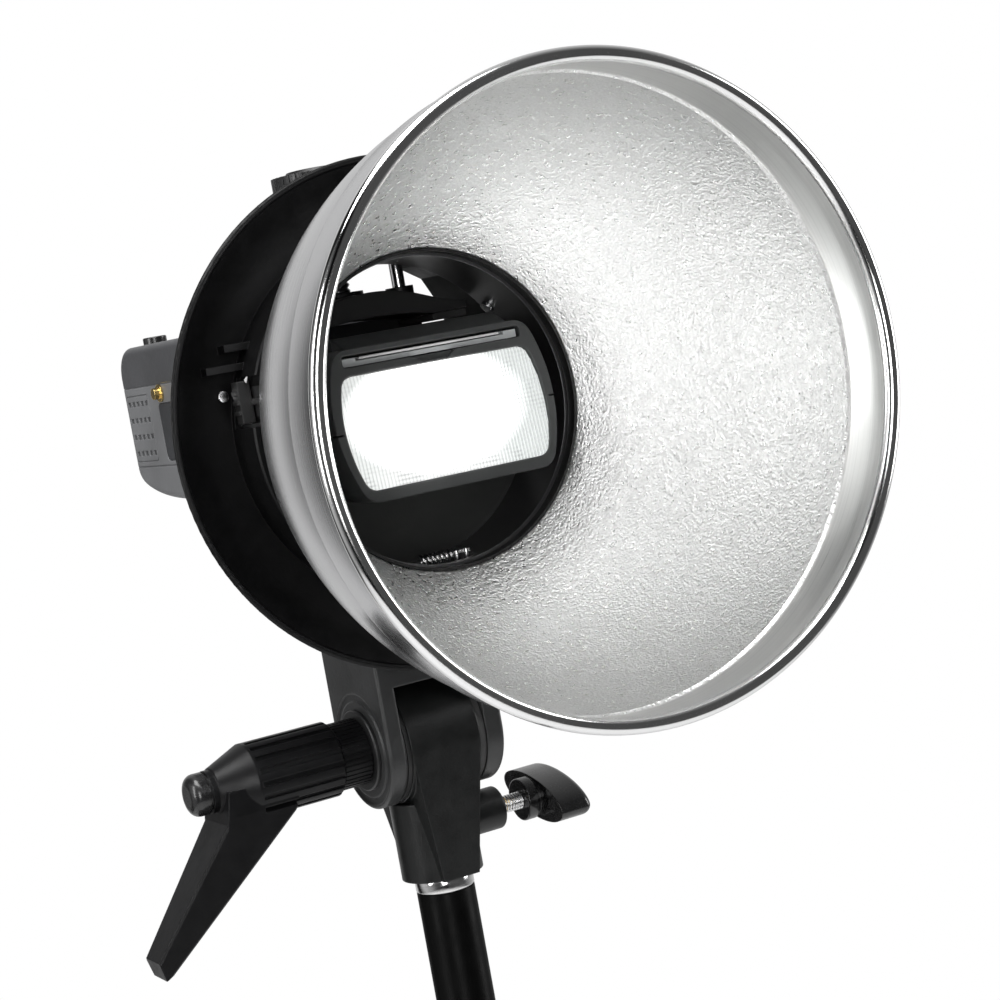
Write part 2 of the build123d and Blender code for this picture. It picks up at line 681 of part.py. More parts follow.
with BuildPart() as clamp_knob:
    with BuildSketch(flat_plane(AXIS_Z + 73.0)):
        Circle(CLAMP_KNOB_R)
        with PolarLocations(CLAMP_KNOB_R + 0.3, 36):
            Rectangle(1.5, 1.3, mode=Mode.SUBTRACT)
    extrude(amount=7.0)
    with BuildSketch(flat_plane(AXIS_Z + 69.6)):
        Circle(8.0)
    extrude(amount=3.4)
    with BuildSketch(flat_plane(AXIS_Z + 80.0)):
        Circle(10.5)
    extrude(amount=1.2, taper=30)
    with BuildSketch(flat_plane(AXIS_Z + 69.6)):
        Circle(CLAMP_SCREW_R + FIT)
    extrude(amount=8.0, mode=Mode.SUBTRACT)

# ---------------------------------------------------------------- reflector
bowl_inner = [
    (THROAT_R, THROAT_Y - SHEET), (64.3, -76.5), (75.6, -99.0), (82.9, -121.5), (STEP_R, STEP_Y),
]
bowl_outer = [
    (THROAT_R + 1.6, THROAT_Y - SHEET), (65.1, -75.9), (76.4, -98.5), (83.8, -121.3),
    (STEP_R + SHEET, STEP_Y),
]
with BuildPart() as reflector_bowl:
    revolve(curved_outline(OPTIC, bowl_inner, bowl_outer), axis=OPTIC_AXIS)
    revolve(
        outline(OPTIC, [
            (THROAT_R, THROAT_Y - SHEET), (THROAT_R, THROAT_Y), (55.6, THROAT_Y), (55.6, THROAT_Y - SHEET),
        ]),
        axis=OPTIC_AXIS,
    )
    revolve(
        outline(OPTIC, [
            (STEP_R, STEP_Y), (STEP_R + SHEET, STEP_Y + 0.6), (BAND_R + SHEET + 0.2, STEP_Y),
            (BAND_R + SHEET + 0.4, RIM_Y + 3.0), (BAND_R + 0.4, RIM_Y + 3.0), (BAND_R, STEP_Y - 0.6),
            (STEP_R, STEP_Y - 0.4),
        ]),
        axis=OPTIC_AXIS,
    )
    with BuildSketch(OPTIC):
        with Locations((RIM_R - BEAD_R, RIM_Y + BEAD_R)):
            Circle(BEAD_R)
    revolve(axis=OPTIC_AXIS)

with BuildPart() as throat_trim:
    revolve(
        outline(OPTIC, [
            (THROAT_R - 1.0, THROAT_Y - 1.4), (THROAT_R - 0.1, THROAT_Y - 1.4), (THROAT_R - 0.1, -51.4),
            (THROAT_R - 1.0, -51.4),
        ]),
        axis=OPTIC_AXIS,
    )

with BuildPart() as reflector_flange:
    revolve(
        outline(OPTIC, [
            (THROAT_R + 0.1, THROAT_Y), (55.4, THROAT_Y), (55.4, -51.4), (THROAT_R + 0.1, -51.4),
        ]),
        axis=OPTIC_AXIS,
    )
    for angle in LUG_ANGLES:
        extrude(
            sector(face_plane(-51.8), 49.1, 51.3, angle - 0.5 * LUG_SPAN, LUG_SPAN),
            amount=-11.6,
        )
        extrude(
            sector(face_plane(-45.7), 51.0, 53.3, angle - 0.5 * LUG_SPAN, LUG_SPAN),
            amount=-3.6,
        )
    extrude(
        sector(face_plane(-50.0), 53.0, 57.0, LATCH_ANGLE - TWIST - 3.0, TWIST + 6.0),
        amount=6.0, mode=Mode.SUBTRACT,
    )

# ---------------------------------------------------------------- flash head
rake_plane = Plane(
    origin=(0, HEAD_FACE_Y, AXIS_Z + HEAD_BOTTOM),
    x_dir=(1, 0, 0),
    z_dir=Vector(0, -1, 0).rotate(Axis.X, -HEAD_RAKE),
)
with BuildPart() as head_bezel:
    extrude(head_outline(face_plane(BEZEL_BACK_Y), 0.0), amount=24.0)
    with BuildSketch(rake_plane):
        Rectangle(120.0, 200.0)
    extrude(amount=30.0, mode=Mode.SUBTRACT)
    extrude(
        outline(side_plane(-CROWN_HALF_W, AXIS_Z), [
            (-57.5, 22.0), (BEZEL_BACK_Y, CROWN_TOP), (BEZEL_BACK_Y, 21.0), (-57.5, 21.0),
        ]),
        amount=2 * CROWN_HALF_W,
    )
    extrude(window_outline(rake_plane, 0.0), amount=-30.0, mode=Mode.SUBTRACT)
    with BuildSketch(rake_plane):
        with Locations((0, SLOT_MID)):
            RectangleRounded(61.0, 3.6, 1.0)
    extrude(amount=-30.0, mode=Mode.SUBTRACT)
    extrude(
        outline(rake_plane, [(-8.0, 41.2), (8.0, 41.2), (4.5, 38.95), (-4.5, 38.95)]),
        amount=-1.5, mode=Mode.SUBTRACT,
    )
    extrude(head_outline(face_plane(BEZEL_BACK_Y), WALL), amount=5.0, mode=Mode.SUBTRACT)
    for z in (17.7, -2.0):
        with BuildSketch(face_plane(BEZEL_BACK_Y)):
            with Locations((-36.8, z), (36.8, z)):
                Rectangle(3.0, 0.5)
        extrude(amount=24.0, mode=Mode.SUBTRACT)

with BuildPart() as head_shell:
    extrude(
        head_outline(face_plane(BEZEL_BACK_Y + 0.2), 0.3),
        amount=BEZEL_BACK_Y + 0.2 - HEAD_BACK_Y,
    )
    with BuildSketch(face_plane(BEZEL_BACK_Y + 0.2)):
        with Locations((0, 0.5 * (CROWN_TOP + 19.0))):
            Rectangle(2 * CROWN_HALF_W, CROWN_TOP - 19.0)
    extrude(amount=-53.0)
    fillet(head_shell.edges().filter_by_position(Axis.Z, AXIS_Z + 26.3, AXIS_Z + 26.5), radius=2.0)
    extrude(
        head_outline(face_plane(BEZEL_BACK_Y), WALL + 0.4),
        amount=BEZEL_BACK_Y - HEAD_BACK_Y + WALL, mode=Mode.SUBTRACT,
    )
    with BuildSketch(face_plane(BEZEL_BACK_Y + 0.2)):
        with Locations((0, 22.0)):
            Rectangle(2 * CROWN_HALF_W - 5.0, 4.0)
    extrude(amount=-50.0, mode=Mode.SUBTRACT)
    with BuildSketch(face_plane(BEZEL_BACK_Y + 0.2)):
        with Locations((0, 14.9)):
            Rectangle(66.0, 1.2)
    extrude(amount=BEZEL_BACK_Y - HEAD_BACK_Y + WALL)
    with BuildSketch(face_plane(5.8)):
        with Locations((0, 25.3)):
            RectangleRounded(62.0, 10.6, 2.0)
    extrude(amount=5.8 - HEAD_BACK_Y)
    for x in (-25.4, 18.4):
        with BuildSketch(side_plane(x, KNUCKLE_Z)):
            with Locations((KNUCKLE_Y, 0)):
                Circle(KNUCKLE_R)
            with Locations((0.5 * (KNUCKLE_Y + HEAD_BACK_Y), 0)):
                Rectangle(KNUCKLE_Y - HEAD_BACK_Y, 2 * KNUCKLE_R)
        extrude(amount=7.0)
    with BuildSketch(side_plane(-26.0, KNUCKLE_Z)):
        with Locations((KNUCKLE_Y, 0)):
            Circle(3.0 + FIT)
    extrude(amount=52.0, mode=Mode.SUBTRACT)

with BuildPart() as fresnel_window:
    extrude(window_outline(rake_plane.offset(-0.7), 0.2), amount=-2.2)

with BuildPart() as tube_reflector:
    trough_inside = [(-55.6, 14.4), (-48.0, 12.6), (-39.5, 7.0), (-36.6, 0.0)]
    trough_outside = [(-55.6, 15.2), (-47.6, 13.4), (-38.8, 7.6), (-35.8, 0.0)]
    trough = curved_outline(
        side_plane(-28.0, AXIS_Z - 2.4),
        trough_inside + [(y, -z) for y, z in reversed(trough_inside[:-1])],
        trough_outside + [(y, -z) for y, z in reversed(trough_outside[:-1])],
    )
    extrude(trough, amount=56.0)

with BuildPart() as flash_tube:
    with BuildSketch(side_plane(-25.0, AXIS_Z - 2.4)):
        with Locations((-41.6, 0)):
            Circle(2.2)
    extrude(amount=50.0)
    fillet(flash_tube.edges(), radius=0.8)

with BuildPart() as wide_panel:
    with BuildSketch(face_plane(-57.6)):
        with Locations((0, 18.2)):
            Rectangle(56.0, 1.4)
    extrude(amount=-50.0)
    with BuildSketch(face_plane(-57.6)):
        with Locations((-27.6, 18.75), (27.6, 18.75)):
            Rectangle(4.4, 2.4)
    extrude(amount=-5.0)

with BuildPart() as bounce_card:
    with BuildSketch(face_plane(-57.4)):
        with Locations((0, 19.6)):
            Rectangle(48.0, 0.7)
    extrude(amount=-50.0)

with BuildPart() as head_yoke:
    with BuildSketch(side_plane(-18.1, KNUCKLE_Z)):
        with Locations((KNUCKLE_Y, 0)):
            Circle(KNUCKLE_R - 0.4)
        with Locations((KNUCKLE_Y + 6.0, 1.5)):
            Rectangle(12.0, 15.0)
    extrude(amount=36.2)
    with BuildSketch(side_plane(-25.2, KNUCKLE_Z)):
        with Locations((KNUCKLE_Y, 0)):
            Circle(3.0)
    extrude(amount=50.4)
    with BuildSketch(Plane(origin=(0, 37.9, BODY_AXIS_Z), x_dir=(1, 0, 0), z_dir=(0, 1, 0))):
        Circle(22.0)
    extrude(amount=1.7)
    with BuildSketch(Plane(origin=(0, 39.6, BODY_AXIS_Z), x_dir=(1, 0, 0), z_dir=(0, 1, 0))):
        Circle(12.0)
    extrude(amount=5.0)

# ---------------------------------------------------------------- flash body
with BuildPart() as body_shell:
    extrude(body_outline(side_plane(-BODY_HALF_W), 0.0), amount=2 * BODY_HALF_W)
    fillet(body_shell.edges().filter_by_position(Axis.X, -38.1, -37.9), radius=2.6)
    fillet(body_shell.edges().filter_by_position(Axis.X, 37.9, 38.1), radius=2.6)
    extrude(
        body_outline(side_plane(-BODY_HALF_W + WALL), WALL), amount=2 * (BODY_HALF_W - WALL),
        mode=Mode.SUBTRACT,
    )
    with BuildSketch(flat_plane(PANEL_SEAM_Z)):
        with Locations((0, 77.0)):
            Rectangle(90.0, 90.0)
    extrude(amount=20.0, mode=Mode.SUBTRACT)
    for seam in (LOWER_SEAM_Z, PANEL_SEAM_Z - 0.5):
        with BuildSketch(flat_plane(seam)):
            with Locations((0, 77.0)):
                Rectangle(90.0, 90.0)
                Rectangle(2 * BODY_HALF_W - 1.0, 73.6, mode=Mode.SUBTRACT)
        extrude(amount=0.5, mode=Mode.SUBTRACT)
    with BuildSketch(Plane(origin=(0, BODY_FRONT_Y, BODY_AXIS_Z), x_dir=(1, 0, 0), z_dir=(0, 1, 0))):
        Circle(12.0 + FIT)
    extrude(amount=5.0, mode=Mode.SUBTRACT)
    with BuildSketch(side_plane(-BODY_HALF_W, AXIS_Z)):
        with Locations(VENT_CENTRE):
            with GridLocations(4.3, 5.93, 5, 4):
                Rectangle(2.8, 1.8)
    extrude(amount=1.2, mode=Mode.SUBTRACT)
    with BuildSketch(side_plane(-BODY_HALF_W, AXIS_Z)):
        with Locations(VENT_CENTRE):
            RectangleRounded(22.6, 24.0, 1.6)
            RectangleRounded(21.8, 23.2, 1.2, mode=Mode.SUBTRACT)
    extrude(amount=0.4, mode=Mode.SUBTRACT)
    with BuildSketch(side_plane(-BODY_HALF_W, AXIS_Z)):
        with Locations((70.0, 5.0)):
            RectangleRounded(21.4, 20.4, 2.4)
    extrude(amount=1.3, mode=Mode.SUBTRACT)
    with BuildSketch(side_plane(-BODY_HALF_W, AXIS_Z)):
        with Locations((76.0, 18.6)):
            Circle(2.1)
    extrude(amount=1.5, mode=Mode.SUBTRACT)
    with BuildSketch(side_plane(BODY_HALF_W, AXIS_Z)):
        with Locations((76.0, 1.0)):
            RectangleRounded(62.0, 27.0, 2.0)
    extrude(amount=-WALL - 0.2, mode=Mode.SUBTRACT)

with BuildPart() as control_panel:
    extrude(body_outline(side_plane(-BODY_HALF_W), 0.0), amount=2 * BODY_HALF_W)
    fillet(control_panel.edges().filter_by_position(Axis.X, -38.1, -37.9), radius=2.6)
    fillet(control_panel.edges().filter_by_position(Axis.X, 37.9, 38.1), radius=2.6)
    extrude(
        body_outline(side_plane(-BODY_HALF_W + WALL), WALL), amount=2 * (BODY_HALF_W - WALL),
        mode=Mode.SUBTRACT,
    )
    with BuildSketch(flat_plane(PANEL_SEAM_Z)):
        with Locations((0, 77.0)):
            Rectangle(90.0, 90.0)
    extrude(amount=-60.0, mode=Mode.SUBTRACT)
    with BuildSketch(flat_plane(AXIS_Z + 36.0)):
        with Locations((0, 58.0)):
            RectangleRounded(48.0, 26.0, 2.0)
    extrude(amount=-1.2, mode=Mode.SUBTRACT)
    with BuildSketch(flat_plane(AXIS_Z + 36.0)):
        with Locations((0, 86.0)):
            Circle(11.3)
    extrude(amount=-1.2, mode=Mode.SUBTRACT)
    with BuildSketch(flat_plane(AXIS_Z + 36.0)):
        with Locations((0, 86.0)):
            Circle(3.0 + FIT)
        with Locations(*BUTTON_PLACES):
            Circle(3.0)
        with Locations(TEST_PLACE):
            Circle(4.3)
        with Locations(SWITCH_PLACE):
            SlotOverall(11.0, 3.4)
    extrude(amount=-4.0, mode=Mode.SUBTRACT)

with BuildPart() as lcd_screen:
    with BuildSketch(flat_plane(AXIS_Z + 34.8)):
        with Locations((0, 58.0)):
            RectangleRounded(47.6, 25.6, 1.8)
    extrude(amount=1.3)

with BuildPart() as select_dial:
    with BuildSketch(flat_plane(AXIS_Z + 35.0)):
        with Locations((0, 86.0)):
            Circle(10.8)
            with PolarLocations(10.9, 24):
                Circle(0.5, mode=Mode.SUBTRACT)
    extrude(amount=3.4)
    with BuildSketch(flat_plane(AXIS_Z + 31.5)):
        with Locations((0, 86.0)):
            Circle(3.0)
    extrude(amount=3.6)
    with BuildSketch(flat_plane(AXIS_Z + 38.4)):
        with Locations((0, 86.0)):
            Circle(5.0)
    extrude(amount=-0.6, mode=Mode.SUBTRACT)


def push_button(x, y, radius, height):
    """Round button with a collar under the panel."""
    with BuildPart() as button:
        with BuildSketch(flat_plane(AXIS_Z + 31.6)):
            with Locations((x, y)):
                Circle(radius + 0.67)
        extrude(amount=1.0)
        with BuildSketch(flat_plane(AXIS_Z + 32.0)):
            with Locations((x, y)):
                Circle(radius)
        extrude(amount=height)
        fillet(button.edges().group_by(Axis.Z)[-1], radius=0.5)
    return button.part


mode_button = push_button(*BUTTON_PLACES[0], 2.93, 5.2)
light_button = push_button(*BUTTON_PLACES[1], 2.93, 5.2)
test_button = push_button(*TEST_PLACE, 4.23, 6.5)

with BuildPart() as power_switch:
    with BuildSketch(flat_plane(AXIS_Z + 33.2)):
        with Locations((SWITCH_PLACE[0] - 2.2, SWITCH_PLACE[1])):
            SlotOverall(5.8, 3.2)
    extrude(amount=4.2)

with BuildPart() as main_board:
    with BuildSketch(flat_plane(AXIS_Z + 24.6)):
        with Locations((0, 75.0)):
            Rectangle(66.0, 60.0)
    extrude(amount=1.6)
    with BuildSketch(flat_plane(AXIS_Z + 26.2)):
        with Locations((-16.0, 66.0), (14.0, 88.0), (16.0, 60.0), (-20.0, 92.0)):
            Rectangle(12.0, 10.0)
    extrude(amount=2.0)

with BuildPart() as capacitor:
    with BuildSketch(Plane(origin=(-20.0, 50.0, AXIS_Z + 0.5), x_dir=(1, 0, 0), z_dir=(0, 1, 0))):
        Circle(12.0)
    extrude(amount=46.0)
    fillet(capacitor.edges(), radius=1.0)

with BuildPart() as battery_cells:
    cell_front = Plane(origin=(0, 45.2, AXIS_Z), x_dir=(-1, 0, 0), z_dir=(0, 1, 0))
    with BuildSketch(cell_front):
        with Locations(*CELL_PLACES):
            Circle(7.1)
    extrude(amount=48.5)
    with BuildSketch(cell_front.offset(48.5)):
        with Locations(*CELL_PLACES):
            Circle(2.7)
    extrude(amount=1.4)

with BuildPart() as battery_door:
    with BuildSketch(side_plane(BODY_HALF_W - 0.1, AXIS_Z)):
        with Locations((76.0, 1.1)):
            RectangleRounded(61.4, 26.0, 1.8)
    extrude(amount=-1.8)
    for y in (60.0, 66.0, 72.0, 78.0):
        with BuildSketch(side_plane(BODY_HALF_W - 0.1, AXIS_Z)):
            with Locations((y + 8.0, 8.0)):
                Rectangle(1.6, 6.0)
        extrude(amount=-0.5, mode=Mode.SUBTRACT)

with BuildPart() as terminal_cover:
    with BuildSketch(side_plane(-BODY_HALF_W + 0.1, AXIS_Z)):
        with Locations((70.0, 5.0)):
            RectangleRounded(20.8, 19.8, 2.2)
    extrude(amount=1.1)

with BuildPart() as sync_post:
    with BuildSketch(side_plane(-BODY_HALF_W + 1.4, AXIS_Z)):
        with Locations((76.0, 18.6)):
            Circle(2.0)
    extrude(amount=-4.2)
    with BuildSketch(side_plane(-BODY_HALF_W - 0.05, AXIS_Z)):
        with Locations((76.0, 18.6)):
            Circle(3.1)
    extrude(amount=-0.7)

# ---------------------------------------------------------------- hot-shoe foot
foot_plane = Plane(origin=(0, 114.5, BODY_AXIS_Z), x_dir=(1, 0, 0), z_dir=(0, 1, 0))
with BuildPart() as foot:
    with BuildSketch(foot_plane):
        RectangleRounded(30.0, 24.0, 3.0)
    extrude(amount=2.6)
    with BuildSketch(foot_plane.offset(2.6)):
        Circle(6.5)
    extrude(amount=7.4)
    with BuildSketch(foot_plane.offset(9.9)):
        Rectangle(18.5, 18.0)
    extrude(amount=2.0)
    with BuildSketch(foot_plane.offset(11.9)):
        with Locations(*CONTACT_PLACES):
            Circle(1.0)
    extrude(amount=-2.4, mode=Mode.SUBTRACT)

with BuildPart() as lock_lever:
    with BuildSketch(foot_plane.offset(3.2)):
        Circle(12.0)
        with Locations((14.0, 0)):
            Rectangle(16.0, 8.0)
        Circle(6.5 + FIT, mode=Mode.SUBTRACT)
    extrude(amount=2.8)
    with BuildSketch(foot_plane.offset(3.2)):
        with Locations((20.5, 0)):
            Rectangle(2.6, 8.0)
    extrude(amount=5.0)
    chamfer(lock_lever.edges().group_by(Axis.X)[-1].filter_by(Axis.Y), length=0.6)

# ---------------------------------------------------------------- sub-part files
PARTS = {
    "adapter_body": adapter_body.part,
    "adapter_rosette": adapter_rosette.part,
    "friction_washer": friction_washer.part,
    "screw_insert": screw_insert.part,
    "clamp_pad": clamp_pad.part,
    "wing_screw": wing_screw.part,
    "wing_knob": wing_knob.part,
    "fork": fork.part,
    "fork_rosette": fork_rosette.part,
    "tilt_stud": tilt_stud.part,
    "ear_washer": ear_washer.part,
    "lever_sleeve": lever_sleeve.part,
    "lever_handle": lever_handle.part,
    "lever_cap": lever_cap.part,
    "lever_spring": lever_spring,
    "clamp_frame": clamp_frame.part,
    "mount_flange": mount_flange.part,
    "bayonet_ring": bayonet_ring.part,
    "ring_screws": ring_screws.part,
    "detent_posts": detent_posts.part,
    "detent_spring": detent_spring,
    "flange_screw": flange_screw.part,
    "index_mark": index_mark.part,
    "cradle_pad": cradle_pad.part,
    "guide_bushes": guide_bushes.part,
    "clamp_nut": clamp_nut.part,
    "latch_slider": latch_slider.part,
    "latch_pin": latch_pin.part,
    "jaw_arch": jaw_arch.part,
    "jaw_pads": jaw_pads.part,
    "guide_rods": guide_rods.part,
    "clamp_screw": clamp_screw.part,
    "clamp_knob": clamp_knob.part,
    "reflector_bowl": reflector_bowl.part,
    "throat_trim": throat_trim.part,
    "reflector_flange": reflector_flange.part,
    "head_bezel": head_bezel.part,
    "head_shell": head_shell.part,
    "fresnel_window": fresnel_window.part,
    "tube_reflector": tube_reflector.part,
    "flash_tube": flash_tube.part,
    "wide_panel": wide_panel.part,
    "bounce_card": bounce_card.part,
    "head_yoke": head_yoke.part,
    "body_shell": body_shell.part,
    "control_panel": control_panel.part,
    "lcd_screen": lcd_screen.part,
    "select_dial": select_dial.part,
    "mode_button": mode_button,
    "light_button": light_button,
    "test_button": test_button,
    "power_switch": power_switch.part,
    "main_board": main_board.part,
    "capacitor": capacitor.part,
    "battery_cells": battery_cells.part,
    "battery_door": battery_door.part,
    "terminal_cover": terminal_cover.part,
    "sync_post": sync_post.part,
    "foot": foot.part,
    "lock_lever": lock_lever.part,
}
for label, part in PARTS.items():
    save(label, part)
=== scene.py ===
"""Looks for the flash, bayonet bracket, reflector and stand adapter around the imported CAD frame."""
import math

import bpy
import numpy as np
from mathutils import Matrix, Vector


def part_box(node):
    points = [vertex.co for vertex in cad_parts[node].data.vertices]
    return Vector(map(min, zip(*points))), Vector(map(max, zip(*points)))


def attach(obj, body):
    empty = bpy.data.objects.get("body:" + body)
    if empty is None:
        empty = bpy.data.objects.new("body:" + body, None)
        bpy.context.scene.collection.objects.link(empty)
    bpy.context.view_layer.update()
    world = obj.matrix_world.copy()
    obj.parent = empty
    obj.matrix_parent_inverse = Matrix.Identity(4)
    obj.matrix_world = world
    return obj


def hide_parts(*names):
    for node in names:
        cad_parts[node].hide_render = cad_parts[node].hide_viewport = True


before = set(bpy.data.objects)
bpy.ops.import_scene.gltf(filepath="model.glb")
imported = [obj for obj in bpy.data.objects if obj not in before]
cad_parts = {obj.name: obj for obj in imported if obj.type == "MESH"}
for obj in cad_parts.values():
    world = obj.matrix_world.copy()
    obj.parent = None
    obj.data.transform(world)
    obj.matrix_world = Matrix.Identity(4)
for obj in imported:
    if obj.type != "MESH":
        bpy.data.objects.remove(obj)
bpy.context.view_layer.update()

MM = 0.001


def centre(node):
    """Middle of a CAD node's box."""
    low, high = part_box(node)
    return (low + high) / 2


AXIS_Z = centre("mount_flange").z

# ---------------------------------------------------------------- camera
# Solved from the reflector's rim and bead, against the height of its axis.
CAMERA_AT = Vector((-0.3093, -0.6594, AXIS_Z + 0.0254))
LOOK_AT = Vector((0.0023, -0.08, AXIS_Z - 0.0287))
CAMERA_ROLL = math.radians(-9.98)
LENS = 80.5
SENSOR = 36.0

camera_data = bpy.data.cameras.new("camera")
camera_data.lens = LENS
camera_data.sensor_width = SENSOR
camera_data.clip_start = 0.01
camera_data.clip_end = 50.0
camera = bpy.data.objects.new("camera", camera_data)
bpy.context.scene.collection.objects.link(camera)
aim = (LOOK_AT - CAMERA_AT).to_track_quat("-Z", "Y").to_matrix().to_4x4()
camera.matrix_world = Matrix.Translation(CAMERA_AT) @ aim @ Matrix.Rotation(CAMERA_ROLL, 4, "Z")
bpy.context.scene.camera = camera
bpy.context.scene.view_settings.view_transform = "Standard"


# ---------------------------------------------------------------- shader helpers
class Look:
    """One node material: a Principled shader with helpers that return sockets."""

    def __init__(self, name, rough=0.5, metal=0.0):
        self.material = bpy.data.materials.new(name)
        self.material.use_nodes = True
        self.tree = self.material.node_tree
        self.shader = self.tree.nodes["Principled BSDF"]
        self.shader.inputs["Roughness"].default_value = rough
        self.shader.inputs["Metallic"].default_value = metal
        self.place = self.tree.nodes.new("ShaderNodeTexCoord").outputs["Object"]
        self.normal = None

    def add(self, kind, **sockets):
        node = self.tree.nodes.new(kind)
        for name, value in sockets.items():
            self.feed(node.inputs[name.replace("_", " ")], value)
        return node

    def feed(self, socket, value):
        if isinstance(value, bpy.types.NodeSocket):
            self.tree.links.new(value, socket)
        else:
            socket.default_value = value

    def math(self, operation, first, second=0.0):
        node = self.tree.nodes.new("ShaderNodeMath")
        node.operation = operation
        self.feed(node.inputs[0], first)
        self.feed(node.inputs[1], second)
        return node.outputs[0]

    def stretch(self, scale):
        node = self.add("ShaderNodeMapping", Vector=self.place)
        node.inputs["Scale"].default_value = scale
        return node.outputs["Vector"]

    def noise(self, scale, detail=2.0, place=None, rough=0.5):
        node = self.add("ShaderNodeTexNoise", Vector=place or self.place, Scale=scale)
        node.inputs["Detail"].default_value = detail
        node.inputs["Roughness"].default_value = rough
        return node.outputs["Fac"]

    def cells(self, scale, place=None):
        node = self.add("ShaderNodeTexVoronoi", Vector=place or self.place, Scale=scale)
        node.feature = "SMOOTH_F1"
        node.inputs["Smoothness"].default_value = 0.6
        return node.outputs["Distance"]

    def span(self, value, low, high, from_low=0.0, from_high=1.0):
        node = self.add("ShaderNodeMapRange", Value=value)
        node.inputs["From Min"].default_value = from_low
        node.inputs["From Max"].default_value = from_high
        node.inputs["To Min"].default_value = low
        node.inputs["To Max"].default_value = high
        return node.outputs["Result"]

    def blend(self, factor, first, second):
        node = self.tree.nodes.new("ShaderNodeMix")
        node.data_type = "RGBA"
        self.feed(node.inputs[0], factor)
        self.feed(node.inputs[6], first)
        self.feed(node.inputs[7], second)
        return node.outputs[2]

    def round_edges(self, radius):
        node = self.add("ShaderNodeBevel", Radius=radius)
        node.samples = 6
        self.normal = node.outputs["Normal"]
        return self.normal

    def edge_mask(self):
        """1 along rounded edges, 0 on flat faces."""
        flat = self.tree.nodes.new("ShaderNodeNewGeometry").outputs["Normal"]
        dot = self.tree.nodes.new("ShaderNodeVectorMath")
        dot.operation = "DOT_PRODUCT"
        self.tree.links.new(self.normal, dot.inputs[0])
        self.tree.links.new(flat, dot.inputs[1])
        return self.span(dot.outputs["Value"], 1.0, 0.0, 0.86, 0.995)

    def bump(self, height, strength, distance):
        node = self.add("ShaderNodeBump", Height=height)
        node.inputs["Strength"].default_value = strength
        node.inputs["Distance"].default_value = distance
        if self.normal is not None:
            self.tree.links.new(self.normal, node.inputs["Normal"])
        self.normal = node.outputs["Normal"]
        return self.normal

    def finish(self, color=None, rough=None):
        if color is not None:
            self.feed(self.shader.inputs["Base Color"], color)
        if rough is not None:
            self.feed(self.shader.inputs["Roughness"], rough)
        if self.normal is not None:
            self.tree.links.new(self.normal, self.shader.inputs["Normal"])
        return self.material


def tone(color, gain):
    """A colour scaled by a gain, with alpha."""
    return tuple(min(1.0, part * gain) for part in color) + (1.0,)


def moulded(name, color, rough=0.5, grain=1500.0, depth=0.16, edge=0.0005, wear=2.0, sheen=0.5):
    """Moulded plastic: fine spark grain, slight mottling, rounded and lightly rubbed edges."""
    look = Look(name, rough)
    look.round_edges(edge)
    mask = look.edge_mask()
    cloud = look.span(look.noise(40.0, 3.0), 0.0, 1.0, 0.3, 0.7)
    mottled = look.blend(cloud, tone(color, 0.86), tone(color, 1.16))
    rubbed = look.math("MULTIPLY", mask, look.span(look.noise(320.0), 0.15, 0.6, 0.35, 0.65))
    worn = look.blend(rubbed, mottled, tone(color, wear))
    uneven = look.span(look.noise(160.0, 3.0), rough - 0.06, rough + 0.07, 0.3, 0.7)
    look.bump(look.noise(grain, 2.0), depth, 0.0002)
    look.shader.inputs["Specular IOR Level"].default_value = sheen
    return look.finish(worn, uneven)


def glossy(name, color, rough=0.14, edge=0.0005):
    """Polished plastic with faint handling marks."""
    look = Look(name, rough)
    look.round_edges(edge)
    smears = look.span(look.noise(60.0, 2.0), 0.0, 1.0, 0.35, 0.65)
    tint = look.blend(smears, tone(color, 0.9), tone(color, 1.15))
    uneven = look.span(look.noise(240.0, 4.0), rough - 0.03, rough + 0.09, 0.35, 0.7)
    look.bump(look.noise(90.0, 2.0), 0.05, 0.0004)
    look.shader.inputs["Coat Weight"].default_value = 0.3
    return look.finish(tint, uneven)


def soft(name, color, rough=0.78):
    """Rubber: dusty, matte, slightly pitted."""
    look = Look(name, rough)
    look.round_edges(0.0004)
    dust = look.span(look.noise(90.0, 4.0), 0.0, 1.0, 0.35, 0.7)
    tint = look.blend(dust, tone(color, 0.85), tone(color, 1.35))
    look.bump(look.noise(2200.0, 3.0), 0.25, 0.0002)
    return look.finish(tint, look.span(look.noise(400.0), rough - 0.08, rough + 0.06))


def metal(name, color, rough=0.25, lines=(1.0, 1.0, 1.0), depth=0.08, edge=0.0003):
    """Bare or plated metal with fine tool lines; the largest scale is across the lines."""
    look = Look(name, rough, 1.0)
    look.round_edges(edge)
    streaks = look.noise(1.0, 3.0, look.stretch(tuple(240.0 * part for part in lines)), 0.65)
    tint = look.blend(look.span(streaks, 0.0, 1.0, 0.3, 0.7), tone(color, 0.88), tone(color, 1.06))
    uneven = look.span(streaks, rough - 0.07, rough + 0.1, 0.3, 0.7)
    look.bump(streaks, depth, 0.0001)
    return look.finish(tint, uneven)


